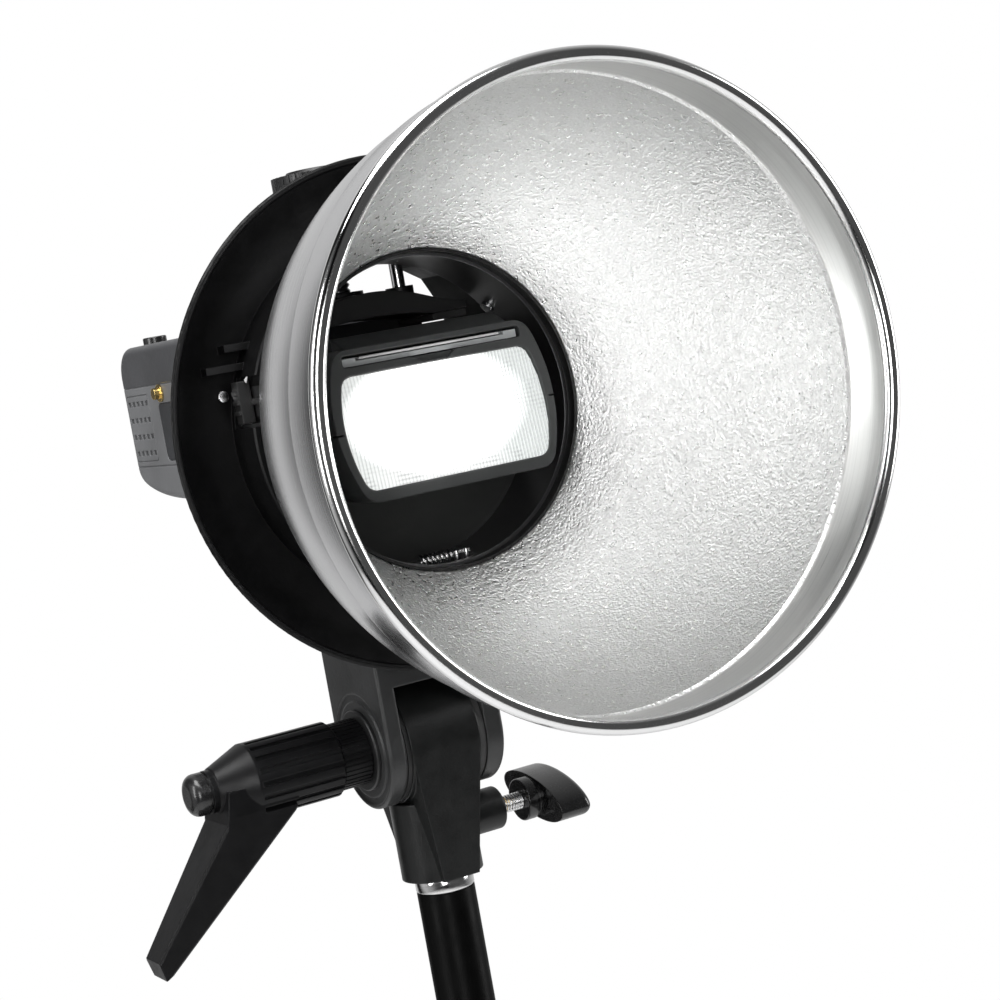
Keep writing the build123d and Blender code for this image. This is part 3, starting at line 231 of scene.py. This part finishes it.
def spun(name, color, rough, pitch=2200.0, depth=0.1, edge=0.0003):
    """Metal turned round the reflector axis: fine rings that follow the radius and the depth."""
    look = Look(name, rough, 1.0)
    look.round_edges(edge)
    parts = look.add("ShaderNodeSeparateXYZ", Vector=look.place).outputs
    height = look.math("SUBTRACT", parts["Z"], AXIS_Z)
    across_squared = look.math("MULTIPLY", parts["X"], parts["X"])
    height_squared = look.math("MULTIPLY", height, height)
    radius = look.math("SQRT", look.math("ADD", across_squared, height_squared))
    rings = look.add(
        "ShaderNodeCombineXYZ",
        X=look.math("MULTIPLY", radius, pitch),
        Y=look.math("MULTIPLY", parts["Y"], pitch),
    ).outputs[0]
    lathe = look.noise(1.0, 3.0, rings, 0.7)
    cloud = look.noise(28.0, 2.0)
    tint = look.blend(look.span(lathe, 0.0, 1.0, 0.3, 0.7), tone(color, 0.9), tone(color, 1.05))
    turned = look.span(lathe, rough - 0.05, rough + 0.07, 0.3, 0.7)
    uneven = look.math("ADD", turned, look.span(cloud, -0.03, 0.05, 0.3, 0.7))
    look.bump(lathe, depth, 0.0001)
    return look.finish(tint, uneven)


def stippled(name, color, rough=0.2):
    """Pebbled aluminium: irregular shallow dimples with bright crests."""
    look = Look(name, rough, 1.0)
    warp = look.noise(560.0, 2.0)
    pebbles = look.cells(1150.0)
    fine = look.noise(1750.0, 2.0, rough=0.6)
    small = look.math("ADD", look.math("MULTIPLY", fine, 0.75), look.math("MULTIPLY", warp, 0.6))
    height = look.math("ADD", look.math("MULTIPLY", pebbles, 0.55), small)
    tint = look.blend(look.span(fine, 0.0, 1.0, 0.3, 0.7), tone(color, 0.86), tone(color, 1.06))
    uneven = look.span(warp, rough - 0.05, rough + 0.08, 0.3, 0.7)
    look.bump(height, 1.0, 0.00026)
    return look.finish(tint, uneven)


def clear(name, color, rough=0.08, through=0.85):
    """Clear plastic with faint ripples."""
    look = Look(name, rough)
    ripple = look.noise(300.0, 2.0)
    tint = look.blend(ripple, tone(color, 0.9), tone(color, 1.05))
    look.shader.inputs["Transmission Weight"].default_value = through
    look.shader.inputs["IOR"].default_value = 1.49
    look.bump(look.noise(1.0, 2.0, look.stretch((900.0, 40.0, 900.0))), 0.2, 0.0002)
    return look.finish(tint, look.span(ripple, rough, rough + 0.08))


# ---------------------------------------------------------------- mesh helpers
def new_piece(name, vertices, faces, materials, indices=None, smooth=True):
    """Mesh object with one material index per face."""
    mesh = bpy.data.meshes.new(name)
    mesh.from_pydata([tuple(v) for v in vertices], [], [tuple(f) for f in faces])
    for material in materials:
        mesh.materials.append(material)
    if indices is not None:
        mesh.polygons.foreach_set("material_index", indices)
    mesh.polygons.foreach_set("use_smooth", [smooth] * len(mesh.polygons))
    mesh.update()
    piece = bpy.data.objects.new(name, mesh)
    bpy.context.scene.collection.objects.link(piece)
    return piece


def revolve_y(name, profile, zones, materials, steps):
    """Closed profile of (radius, y) in metres turned round the reflector axis."""
    angles = np.linspace(0.0, 2.0 * math.pi, steps, endpoint=False)
    points = np.array(profile)
    count = len(points)
    vertices = []
    for angle in angles:
        across, up = math.cos(angle), math.sin(angle)
        for radius, depth in points:
            vertices.append((radius * across, depth, AXIS_Z + radius * up))
    faces = []
    indices = []
    for turn in range(steps):
        here = turn * count
        there = ((turn + 1) % steps) * count
        for k in range(count):
            after = (k + 1) % count
            faces.append((here + k, here + after, there + after, there + k))
            indices.append(zones[k])
    return new_piece(name, vertices, faces, materials, indices)


def sharpen(piece, degrees=30.0):
    """Smooth shading that keeps edges sharper than an angle."""
    mesh = piece.data
    mesh.set_sharp_from_angle(angle=math.radians(degrees))
    return piece


def own(piece, body, slot, *replaced):
    """Tie a finished piece to its CAD body and hide the nodes it stands for; the slot is not used."""
    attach(piece, body)
    if replaced:
        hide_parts(*replaced)
    return piece


# ---------------------------------------------------------------- reflector
# Millimetres; a profile point is (radius, y).
SHEET = 0.8
BOWL_LINE = ((49.0, -54.8), (64.3, -76.5), (75.6, -99.0), (82.9, -121.5), (86.2, -144.0))
BOWL_POINTS = 40
THROAT_EDGE = (55.5, -54.8)
BEAD_R = 2.2
BEAD_FROM = 200.0
BEAD_SWEEP = 335.0
BEAD_STEPS = 20
BOWL_STEPS = 288
INSIDE, BAND, BEAD, OUTSIDE = range(4)


def bowl_curve(count):
    """Inner bowl line from throat to step, as (radius, y) in mm."""
    radii = np.array([point[0] for point in BOWL_LINE])
    depths = np.array([point[1] for point in BOWL_LINE])
    curve = np.polynomial.polynomial.Polynomial.fit(depths, radii, len(BOWL_LINE) - 1)
    spread = np.linspace(depths[0], depths[-1], count)
    return np.stack([curve(spread), spread], 1)


def offset_curve(line, distance):
    """Curve moved outwards by a distance."""
    slope = np.gradient(line, axis=0)
    slope /= np.linalg.norm(slope, axis=1)[:, None]
    return line + distance * np.stack([-slope[:, 1], slope[:, 0]], 1)


def make_reflector():
    """Spun bowl with a pebbled inside, a smooth step and band, and a rolled bead."""
    rim_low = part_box("reflector_bowl")[0].y / MM
    rim_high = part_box("reflector_bowl")[1].x / MM
    inner = bowl_curve(BOWL_POINTS)
    outer = offset_curve(inner, SHEET)
    outer[0] = THROAT_EDGE
    bead_centre = np.array((rim_high - BEAD_R, rim_low + BEAD_R))
    bead = []
    for step in range(BEAD_STEPS + 1):
        angle = math.radians(BEAD_FROM - BEAD_SWEEP * step / BEAD_STEPS)
        bead.append(bead_centre + BEAD_R * np.array((math.cos(angle), -math.sin(angle))))
    band_inner = [(86.9, -144.7), (87.05, -145.6), (87.2, -153.0), (87.0, -159.5), (86.3, -161.4)]
    band_outer = [(88.2, -160.2), (88.15, -158.0), (88.0, -146.0), (87.6, -144.4)]
    throat = [(55.5, -54.05), (49.1, -54.05)]
    profile = []
    zones = []

    def run(points, zone):
        for point in points:
            profile.append(tuple(np.array(point) * MM))
            zones.append(zone)

    run(inner, INSIDE)
    run(band_inner, BAND)
    run(bead, BEAD)
    run(band_outer, OUTSIDE)
    run(outer[::-1], OUTSIDE)
    run(throat, OUTSIDE)
    return revolve_y(
        "reflector_skin", profile, zones,
        [
            stippled("pebbled_aluminium", (0.95, 0.95, 0.94), 0.3),
            spun("band_aluminium", (0.86, 0.86, 0.85), 0.34, 1800.0, 0.2),
            spun("bead_aluminium", (0.9, 0.9, 0.9), 0.12, 1500.0, 0.06),
            spun("satin_aluminium", (0.66, 0.66, 0.67), 0.2, 1600.0, 0.12),
        ],
        BOWL_STEPS,
    )


reflector = sharpen(make_reflector(), 40.0)
own(reflector, "reflector", "reflector_bowl", "reflector_bowl")


# ---------------------------------------------------------------- flash window
# Millimetres; the outline is straight to CORNER_FROM, rounded to SIDE_FROM, then bulges to its end.
RIB_PITCH = 1.15
ROW_PITCH = 1.3
RIB_HEIGHT = 0.28
FRONT_OUT = 0.75
BACK_OUT = -0.9
WINDOW_ROWS = 12
WINDOW_RAKE = math.radians(6.8)
END_GAP = 0.02
WINDOW_W = 68.4
WINDOW_H = 34.4
WINDOW_CORNER = 4.0
CORNER_FROM = 28.1
SIDE_FROM = 31.93
SIDE_SWELL = 3.25
GLOW_SHIFT = 3.0
GLOW_HALF_W = 34.0
GLOW_HALF_H = 20.0
GLOW_MIDDLE = 4.5
GLOW_EDGE = 0.62


def painted_glow_window(name):
    """Ribbed clear window with a painted glow: emission on the lens stands for the flash's light, strongest
    in the middle; painted shade shows the ribs near the far edge.
    """
    look = Look(name, 0.16)
    parts = look.add("ShaderNodeSeparateXYZ", Vector=look.place).outputs
    across = look.math("DIVIDE", parts["X"], MM)
    up = look.math("DIVIDE", look.math("SUBTRACT", parts["Z"], AXIS_Z), MM)

    def wave(value, pitch):
        """Rounded ridges: 0 in each groove, 1 on each crest."""
        return look.math("ABSOLUTE", look.math("SINE", look.math("MULTIPLY", value, math.pi / pitch)))

    rib_wave = wave(across, RIB_PITCH)
    row_wave = wave(up, ROW_PITCH)
    # Painted shade on the glow: rib lines near the right and left edges, row lines near the bottom and the
    # sides.
    right = look.span(across, 0.0, 1.0, 10.0, 20.0)
    left = look.span(across, 0.0, 1.0, -21.0, -31.0)
    low = look.span(up, 0.0, 1.0, -11.5, -16.5)
    patch = look.span(look.noise(120.0, 2.0), 0.0, 1.0, 0.42, 0.6)
    side = look.math("MAXIMUM", right, look.math("MULTIPLY", left, 0.5))
    ribs = look.math("MULTIPLY", side, look.span(rib_wave, 0.62, 0.0))
    outer_part = look.math("MAXIMUM", low, look.math("MULTIPLY", side, 0.5))
    rows = look.math("MULTIPLY", look.math("MULTIPLY", outer_part, patch), look.span(row_wave, 0.5, 0.0))
    painted_rib_shade = look.math("SUBTRACT", 1.0, look.math("MINIMUM", look.math("ADD", ribs, rows), 0.85))
    # Painted glow: emission strongest near the middle, fading towards the edges.
    share_across = look.math("DIVIDE", look.math("ADD", across, GLOW_SHIFT), GLOW_HALF_W)
    share_up = look.math("DIVIDE", up, GLOW_HALF_H)
    squares = look.math("ADD", look.math("POWER", share_across, 2.0), look.math("POWER", share_up, 2.0))
    core = look.span(look.math("SQRT", squares), GLOW_MIDDLE, GLOW_EDGE, 0.3, 0.95)
    look.feed(look.shader.inputs["Emission Strength"], look.math("MULTIPLY", core, painted_rib_shade))
    glow_tint = look.blend(side, (1.0, 1.0, 0.985, 1.0), (0.93, 0.97, 0.95, 1.0))
    look.feed(look.shader.inputs["Emission Color"], glow_tint)
    # Base colour: painted shade in the rib grooves, lighter on the crests.
    return look.finish(look.blend(rib_wave, (0.2, 0.21, 0.21, 1.0), (0.34, 0.36, 0.36, 1.0)))


def window_half_height(across):
    """Half height of the window's rounded outline at a distance from its middle."""
    offset = abs(across)
    if offset <= CORNER_FROM:
        return WINDOW_H / 2
    if offset < SIDE_FROM:
        drop = WINDOW_CORNER - math.sqrt(WINDOW_CORNER ** 2 - (offset - CORNER_FROM) ** 2)
        return WINDOW_H / 2 - drop
    return WINDOW_H / 2 * math.sqrt(max(0.0, (WINDOW_W / 2 - offset) / SIDE_SWELL))


def make_window():
    """Raked slab whose front is a row of shallow upright prisms."""
    low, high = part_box("fresnel_window")
    middle = Vector((0.0, (low.y + high.y) / 2, (low.z + high.z) / 2))
    up_axis = Vector((0.0, math.sin(WINDOW_RAKE), math.cos(WINDOW_RAKE)))
    out_axis = Vector((0.0, -math.cos(WINDOW_RAKE), math.sin(WINDOW_RAKE)))
    columns = int(WINDOW_W / RIB_PITCH) * 2
    reach = WINDOW_W / 2 - END_GAP
    xs = np.linspace(-reach, reach, columns + 1)
    rows = WINDOW_ROWS
    vertices = []
    for front in (True, False):
        for i, x in enumerate(xs):
            half = window_half_height(x)
            ridge = RIB_HEIGHT if i % 2 else 0.0
            out = FRONT_OUT + ridge if front else BACK_OUT
            for j in range(rows + 1):
                up = half * (2.0 * j / rows - 1.0)
                vertices.append(middle + Vector((x * MM, 0, 0)) + up_axis * up * MM + out_axis * out * MM)
    per = (columns + 1) * (rows + 1)
    faces = []
    for i in range(columns):
        for j in range(rows):
            a = i * (rows + 1) + j
            b = a + rows + 1
            faces.append((a, b, b + 1, a + 1))
            faces.append((per + a, per + a + 1, per + b + 1, per + b))
        low_a, low_b = i * (rows + 1), (i + 1) * (rows + 1)
        faces.append((low_a, per + low_a, per + low_b, low_b))
        top_a, top_b = low_a + rows, low_b + rows
        faces.append((top_a, top_b, per + top_b, per + top_a))
    for j in range(rows):
        last = columns * (rows + 1) + j
        faces.append((j, j + 1, per + j + 1, per + j))
        faces.append((last, per + last, per + last + 1, last + 1))
    return new_piece("window_lens", vertices, faces, [painted_glow_window("painted_glow_ribbed_window")], smooth=False)


own(make_window(), "flash_head", "fresnel_window", "fresnel_window")

# ---------------------------------------------------------------- finishes of the CAD nodes
BLACK = (0.01, 0.01, 0.0105)
BRASS = (0.66, 0.47, 0.2)
ALONG_X = (1.0, 8.0, 8.0)
ROUND_X = (8.0, 1.0, 1.0)
ROUND_Z = (1.0, 1.0, 8.0)
BODY_GREY = (0.14, 0.142, 0.147)

FINISHES = {
    "adapter_body": moulded("adapter_plastic", (0.0065, 0.007, 0.007), 0.36, 1300.0, 0.2, 0.0007, sheen=0.4),
    "adapter_rosette": moulded("adapter_rosette_plastic", BLACK, 0.5),
    "friction_washer": soft("friction_rubber", (0.05, 0.05, 0.05)),
    "screw_insert": metal("insert_brass", BRASS, 0.28, ALONG_X),
    "clamp_pad": metal("pad_brass", BRASS, 0.3),
    "wing_screw": metal("zinc_screw", (0.86, 0.86, 0.86), 0.22, ROUND_X),
    "wing_knob": glossy("wing_gloss", (0.011, 0.011, 0.0115), 0.2, 0.0006),
    "fork": moulded("fork_plastic", (0.028, 0.0285, 0.029), 0.36, 1300.0, 0.18, 0.0009),
    "fork_rosette": moulded("fork_rosette_plastic", BLACK, 0.5),
    "tilt_stud": metal("stud_steel", (0.25, 0.25, 0.25), 0.35),
    "ear_washer": moulded("washer_plastic", (0.012, 0.012, 0.0125), 0.4, 1500.0, 0.08, 0.0004),
    "lever_sleeve": moulded("sleeve_plastic", (0.005, 0.005, 0.0055), 0.38, 1500.0, 0.08, 0.0002, sheen=0.22),
    "lever_handle": moulded("lever_plastic", (0.0055, 0.0055, 0.006), 0.36, 1200.0, 0.12, 0.0006, sheen=0.22),
    "lever_cap": glossy("cap_gloss", (0.012, 0.012, 0.0125), 0.26, 0.0006),
    "lever_spring": metal("spring_steel", (0.55, 0.55, 0.56), 0.25),
    # clamp_frame: its colour is raised above the other black plastics as painted light, for the light from
    # above that falls on it.
    "clamp_frame": moulded("frame_plastic_painted_light", (0.024, 0.025, 0.024), 0.5, 900.0, 0.22, 0.0006),
    "mount_flange": moulded("flange_plastic", (0.003, 0.003, 0.0032), 0.42, 1000.0, 0.22, 0.0004, sheen=0.2),
    "bayonet_ring": spun("ring_metal", (0.24, 0.24, 0.245), 0.36, 1400.0, 0.35),
    "ring_screws": metal("ring_screw_metal", (0.6, 0.6, 0.6), 0.22),
    "detent_posts": metal("post_metal", (0.72, 0.72, 0.72), 0.16),
    "detent_spring": metal("detent_wire", (0.78, 0.78, 0.78), 0.14),
    "flange_screw": metal("flange_screw_metal", (0.75, 0.75, 0.75), 0.18),
    "index_mark": moulded("mark_paint", (0.6, 0.6, 0.6), 0.45, wear=1.1),
    # cradle_pad: its rubber grey is raised as painted light, for the light from above that falls on it.
    "cradle_pad": soft("cradle_rubber_painted_light", (0.075, 0.077, 0.074)),
    "guide_bushes": metal("bush_metal", (0.7, 0.7, 0.71), 0.18, ROUND_Z),
    "clamp_nut": metal("nut_brass", (0.62, 0.46, 0.2), 0.3, ROUND_Z),
    "latch_slider": moulded("slider_plastic", (0.006, 0.006, 0.006), 0.6),
    "latch_pin": metal("latch_pin_metal", (0.75, 0.75, 0.75), 0.16, (1.0, 8.0, 1.0)),
    "jaw_arch": moulded("jaw_plastic", (0.013, 0.013, 0.0135), 0.44, 1000.0, 0.2, 0.0008),
    "jaw_pads": soft("jaw_rubber", (0.025, 0.025, 0.025)),
    "guide_rods": metal("rod_metal", (0.8, 0.8, 0.81), 0.1, (1.0, 1.0, 6.0)),
    "clamp_screw": metal("thread_metal", (0.2, 0.2, 0.21), 0.3, ROUND_Z),
    "clamp_knob": moulded("knurl_plastic", (0.014, 0.014, 0.0145), 0.4, 1300.0, 0.12, 0.0003),
    "throat_trim": moulded("trim_paint", (0.012, 0.012, 0.012), 0.4, 1500.0, 0.08, 0.0002),
    "reflector_flange": spun("flange_metal", (0.08, 0.08, 0.085), 0.35, 1500.0, 0.2),
    "head_bezel": moulded("bezel_plastic", (0.04, 0.042, 0.042), 0.44, 1100.0, 0.12, 0.0008, 1.6),
    "head_shell": moulded("head_plastic", (0.03, 0.031, 0.032), 0.46, 1100.0, 0.18, 0.0008),
    "tube_reflector": metal("mirror_sheet", (0.92, 0.92, 0.92), 0.12, (1.0, 4.0, 4.0)),
    "flash_tube": clear("tube_glass", (0.98, 0.98, 0.96)),
    "wide_panel": clear("panel_clear", (0.9, 0.93, 0.94), 0.12, 0.55),
    "bounce_card": soft("card_white", (0.6, 0.6, 0.6), 0.6),
    "head_yoke": moulded("yoke_plastic", (0.014, 0.014, 0.015), 0.46, 1100.0, 0.16, 0.0008),
    "body_shell": moulded("body_plastic", BODY_GREY, 0.55, 1000.0, 0.3, 0.0006, 1.7),
    "control_panel": moulded("panel_plastic", (0.055, 0.056, 0.06), 0.42, 1100.0, 0.2, 0.0006, 1.8),
    "lcd_screen": glossy("display_window", (0.16, 0.2, 0.17), 0.12, 0.0003),
    "select_dial": glossy("dial_gloss", (0.04, 0.04, 0.043), 0.25, 0.0004),
    "mode_button": soft("mode_rubber", (0.09, 0.09, 0.1), 0.6),
    "light_button": soft("light_rubber", (0.09, 0.09, 0.1), 0.6),
    "test_button": glossy("test_black", (0.012, 0.012, 0.0125), 0.25, 0.0004),
    "power_switch": moulded("switch_plastic", (0.12, 0.12, 0.125), 0.5),
    "main_board": moulded("board_green", (0.02, 0.11, 0.05), 0.45),
    "capacitor": glossy("capacitor_sleeve", (0.03, 0.03, 0.1), 0.3),
    "battery_cells": glossy("cell_wrap", (0.4, 0.3, 0.1), 0.3),
    "battery_door": moulded("door_plastic", BODY_GREY, 0.55, 1000.0, 0.3, 0.0005, 1.7),
    "terminal_cover": soft("cover_rubber", (0.026, 0.027, 0.03), 0.62),
    "sync_post": metal("post_brass", (0.76, 0.56, 0.22), 0.2, ROUND_X),
    "foot": metal("foot_metal", (0.62, 0.62, 0.63), 0.24, (1.0, 1.0, 6.0)),
    "lock_lever": moulded("lock_plastic", (0.03, 0.03, 0.032), 0.46),
}

for node, material in FINISHES.items():
    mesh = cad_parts[node].data
    if mesh.materials:
        mesh.materials[0] = material
    else:
        mesh.materials.append(material)

# ---------------------------------------------------------------- floor and light stand
# Millimetres for the stand, metres for the floor.
STAND_R = 9.7
STAND_FOOT = -745.0
COLLAR_R = 9.8
COLLAR_LOW = -5.0
COLLAR_HIGH = -0.1
ROUND_STEPS = 96
FLOOR_Z = -0.75
FLOOR_R = 1.4


def round_angles():
    """Evenly spread angles of the stand and the floor."""
    return [2.0 * math.pi * step / ROUND_STEPS for step in range(ROUND_STEPS)]


def tube_piece(name, radius, low, high, material, lip=0.4):
    """Closed upright cylinder with softened rims, for the light stand."""
    part_lip = 0.3 * lip
    rings = [
        (0.0, low), (radius - lip, low), (radius - part_lip, low + part_lip), (radius, low + lip),
        (radius, high - lip), (radius - part_lip, high - part_lip), (radius - lip, high), (0.0, high),
    ]
    vertices = []
    for angle in round_angles():
        for ring, height in rings:
            vertices.append((ring * MM * math.cos(angle), ring * MM * math.sin(angle), height * MM))
    faces = []
    count = len(rings)
    for step in range(ROUND_STEPS):
        here, there = step * count, ((step + 1) % ROUND_STEPS) * count
        for k in range(count - 1):
            faces.append((here + k, there + k, there + k + 1, here + k + 1))
    return sharpen(new_piece(name, vertices, faces, [material]), 50.0)


stand_black = moulded("stand_paint", (0.0025, 0.0025, 0.0025), 0.4, wear=1.0, sheen=0.06)
collar_bright = metal("collar_metal", (0.8, 0.8, 0.8), 0.14, ROUND_Z)
tube_piece("stand_tube", STAND_R, STAND_FOOT, COLLAR_LOW, stand_black)
tube_piece("stand_collar", COLLAR_R, COLLAR_LOW, COLLAR_HIGH, collar_bright)


def make_floor():
    """Wide pale disc under the stand."""
    vertices = [(0.0, 0.0, FLOOR_Z)]
    for angle in round_angles():
        vertices.append((FLOOR_R * math.cos(angle), FLOOR_R * math.sin(angle), FLOOR_Z))
    faces = [(0, 1 + step, 1 + (step + 1) % ROUND_STEPS) for step in range(ROUND_STEPS)]
    look = Look("pale_floor", 0.8)
    pale = look.blend(look.noise(3.0, 2.0), (0.9, 0.9, 0.9, 1.0), (0.93, 0.93, 0.93, 1.0))
    return new_piece("floor", vertices, faces, [look.finish(pale)])


make_floor()

# ---------------------------------------------------------------- studio light
TARGET = Vector((0.0, -0.06, 0.14))


def softbox(name, place, width, height, power):
    """Rectangular studio light that faces the object."""
    data = bpy.data.lights.new(name, "AREA")
    data.shape = "RECTANGLE"
    data.size = width
    data.size_y = height
    data.energy = power
    lamp = bpy.data.objects.new(name, data)
    bpy.context.scene.collection.objects.link(lamp)
    place = Vector(place)
    aim = (TARGET - place).to_track_quat("-Z", "Y").to_matrix().to_4x4()
    lamp.matrix_world = Matrix.Translation(place) @ aim


softbox("key_top", (-0.25, -0.35, 1.25), 0.9, 0.7, 17.0)
softbox("side_left", (-1.25, -0.15, 0.45), 0.35, 1.1, 9.0)
softbox("side_right", (1.2, -0.5, 0.35), 0.4, 1.1, 9.0)
softbox("front_fill", (-0.75, -1.5, 0.25), 0.5, 0.9, 9.0)


GLOW_AHEAD = 0.02
GLOW_RADIUS = 0.01
GLOW_POWER = 0.018


def dish_glow():
    """Small lamp just ahead of the window at rest, for the light that the flash throws into the dish."""
    data = bpy.data.lights.new("dish_glow", "POINT")
    data.shadow_soft_size = GLOW_RADIUS
    data.energy = GLOW_POWER
    lamp = bpy.data.objects.new("dish_glow", data)
    bpy.context.scene.collection.objects.link(lamp)
    middle = centre("fresnel_window")
    lamp.location = (middle.x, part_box("fresnel_window")[0].y - GLOW_AHEAD, middle.z)
    lamp.visible_camera = False


dish_glow()

# The surround that reflections see: (from, to) of a direction's part, then (from, to) of its brightness.
FRONT_TO_BACK = (-0.5, 0.7, 0.06, 0.6)
DARK_BAND_X = -0.5
DARK_BAND = (0.12, 0.4, 0.03, 1.1)


def make_world():
    """White surround for the camera; for reflections it darkens to the front and along one upright band."""
    world = bpy.data.worlds.new("studio")
    bpy.context.scene.world = world
    world.use_nodes = True
    tree = world.node_tree
    background = tree.nodes["Background"]

    def math_node(operation, first, second):
        node = tree.nodes.new("ShaderNodeMath")
        node.operation = operation
        for socket, value in zip(node.inputs, (first, second)):
            if isinstance(value, float):
                socket.default_value = value
            else:
                tree.links.new(value, socket)
        return node.outputs[0]

    def map_range(value, limits):
        node = tree.nodes.new("ShaderNodeMapRange")
        tree.links.new(value, node.inputs["Value"])
        for socket, limit in zip(("From Min", "From Max", "To Min", "To Max"), limits):
            node.inputs[socket].default_value = limit
        return node.outputs["Result"]

    parts = tree.nodes.new("ShaderNodeSeparateXYZ")
    tree.links.new(tree.nodes.new("ShaderNodeTexCoord").outputs["Generated"], parts.inputs[0])
    ramp = map_range(parts.outputs["Y"], FRONT_TO_BACK)
    away = math_node("ABSOLUTE", math_node("SUBTRACT", parts.outputs["X"], DARK_BAND_X), 0.0)
    band = map_range(away, DARK_BAND)
    pick = tree.nodes.new("ShaderNodeMix")
    pick.data_type = "FLOAT"
    tree.links.new(tree.nodes.new("ShaderNodeLightPath").outputs["Is Camera Ray"], pick.inputs["Factor"])
    tree.links.new(math_node("MULTIPLY", ramp, band), pick.inputs["A"])
    pick.inputs["B"].default_value = 1.0
    background.inputs["Color"].default_value = (1.0, 1.0, 1.0, 1.0)
    tree.links.new(pick.outputs["Result"], background.inputs["Strength"])


make_world()
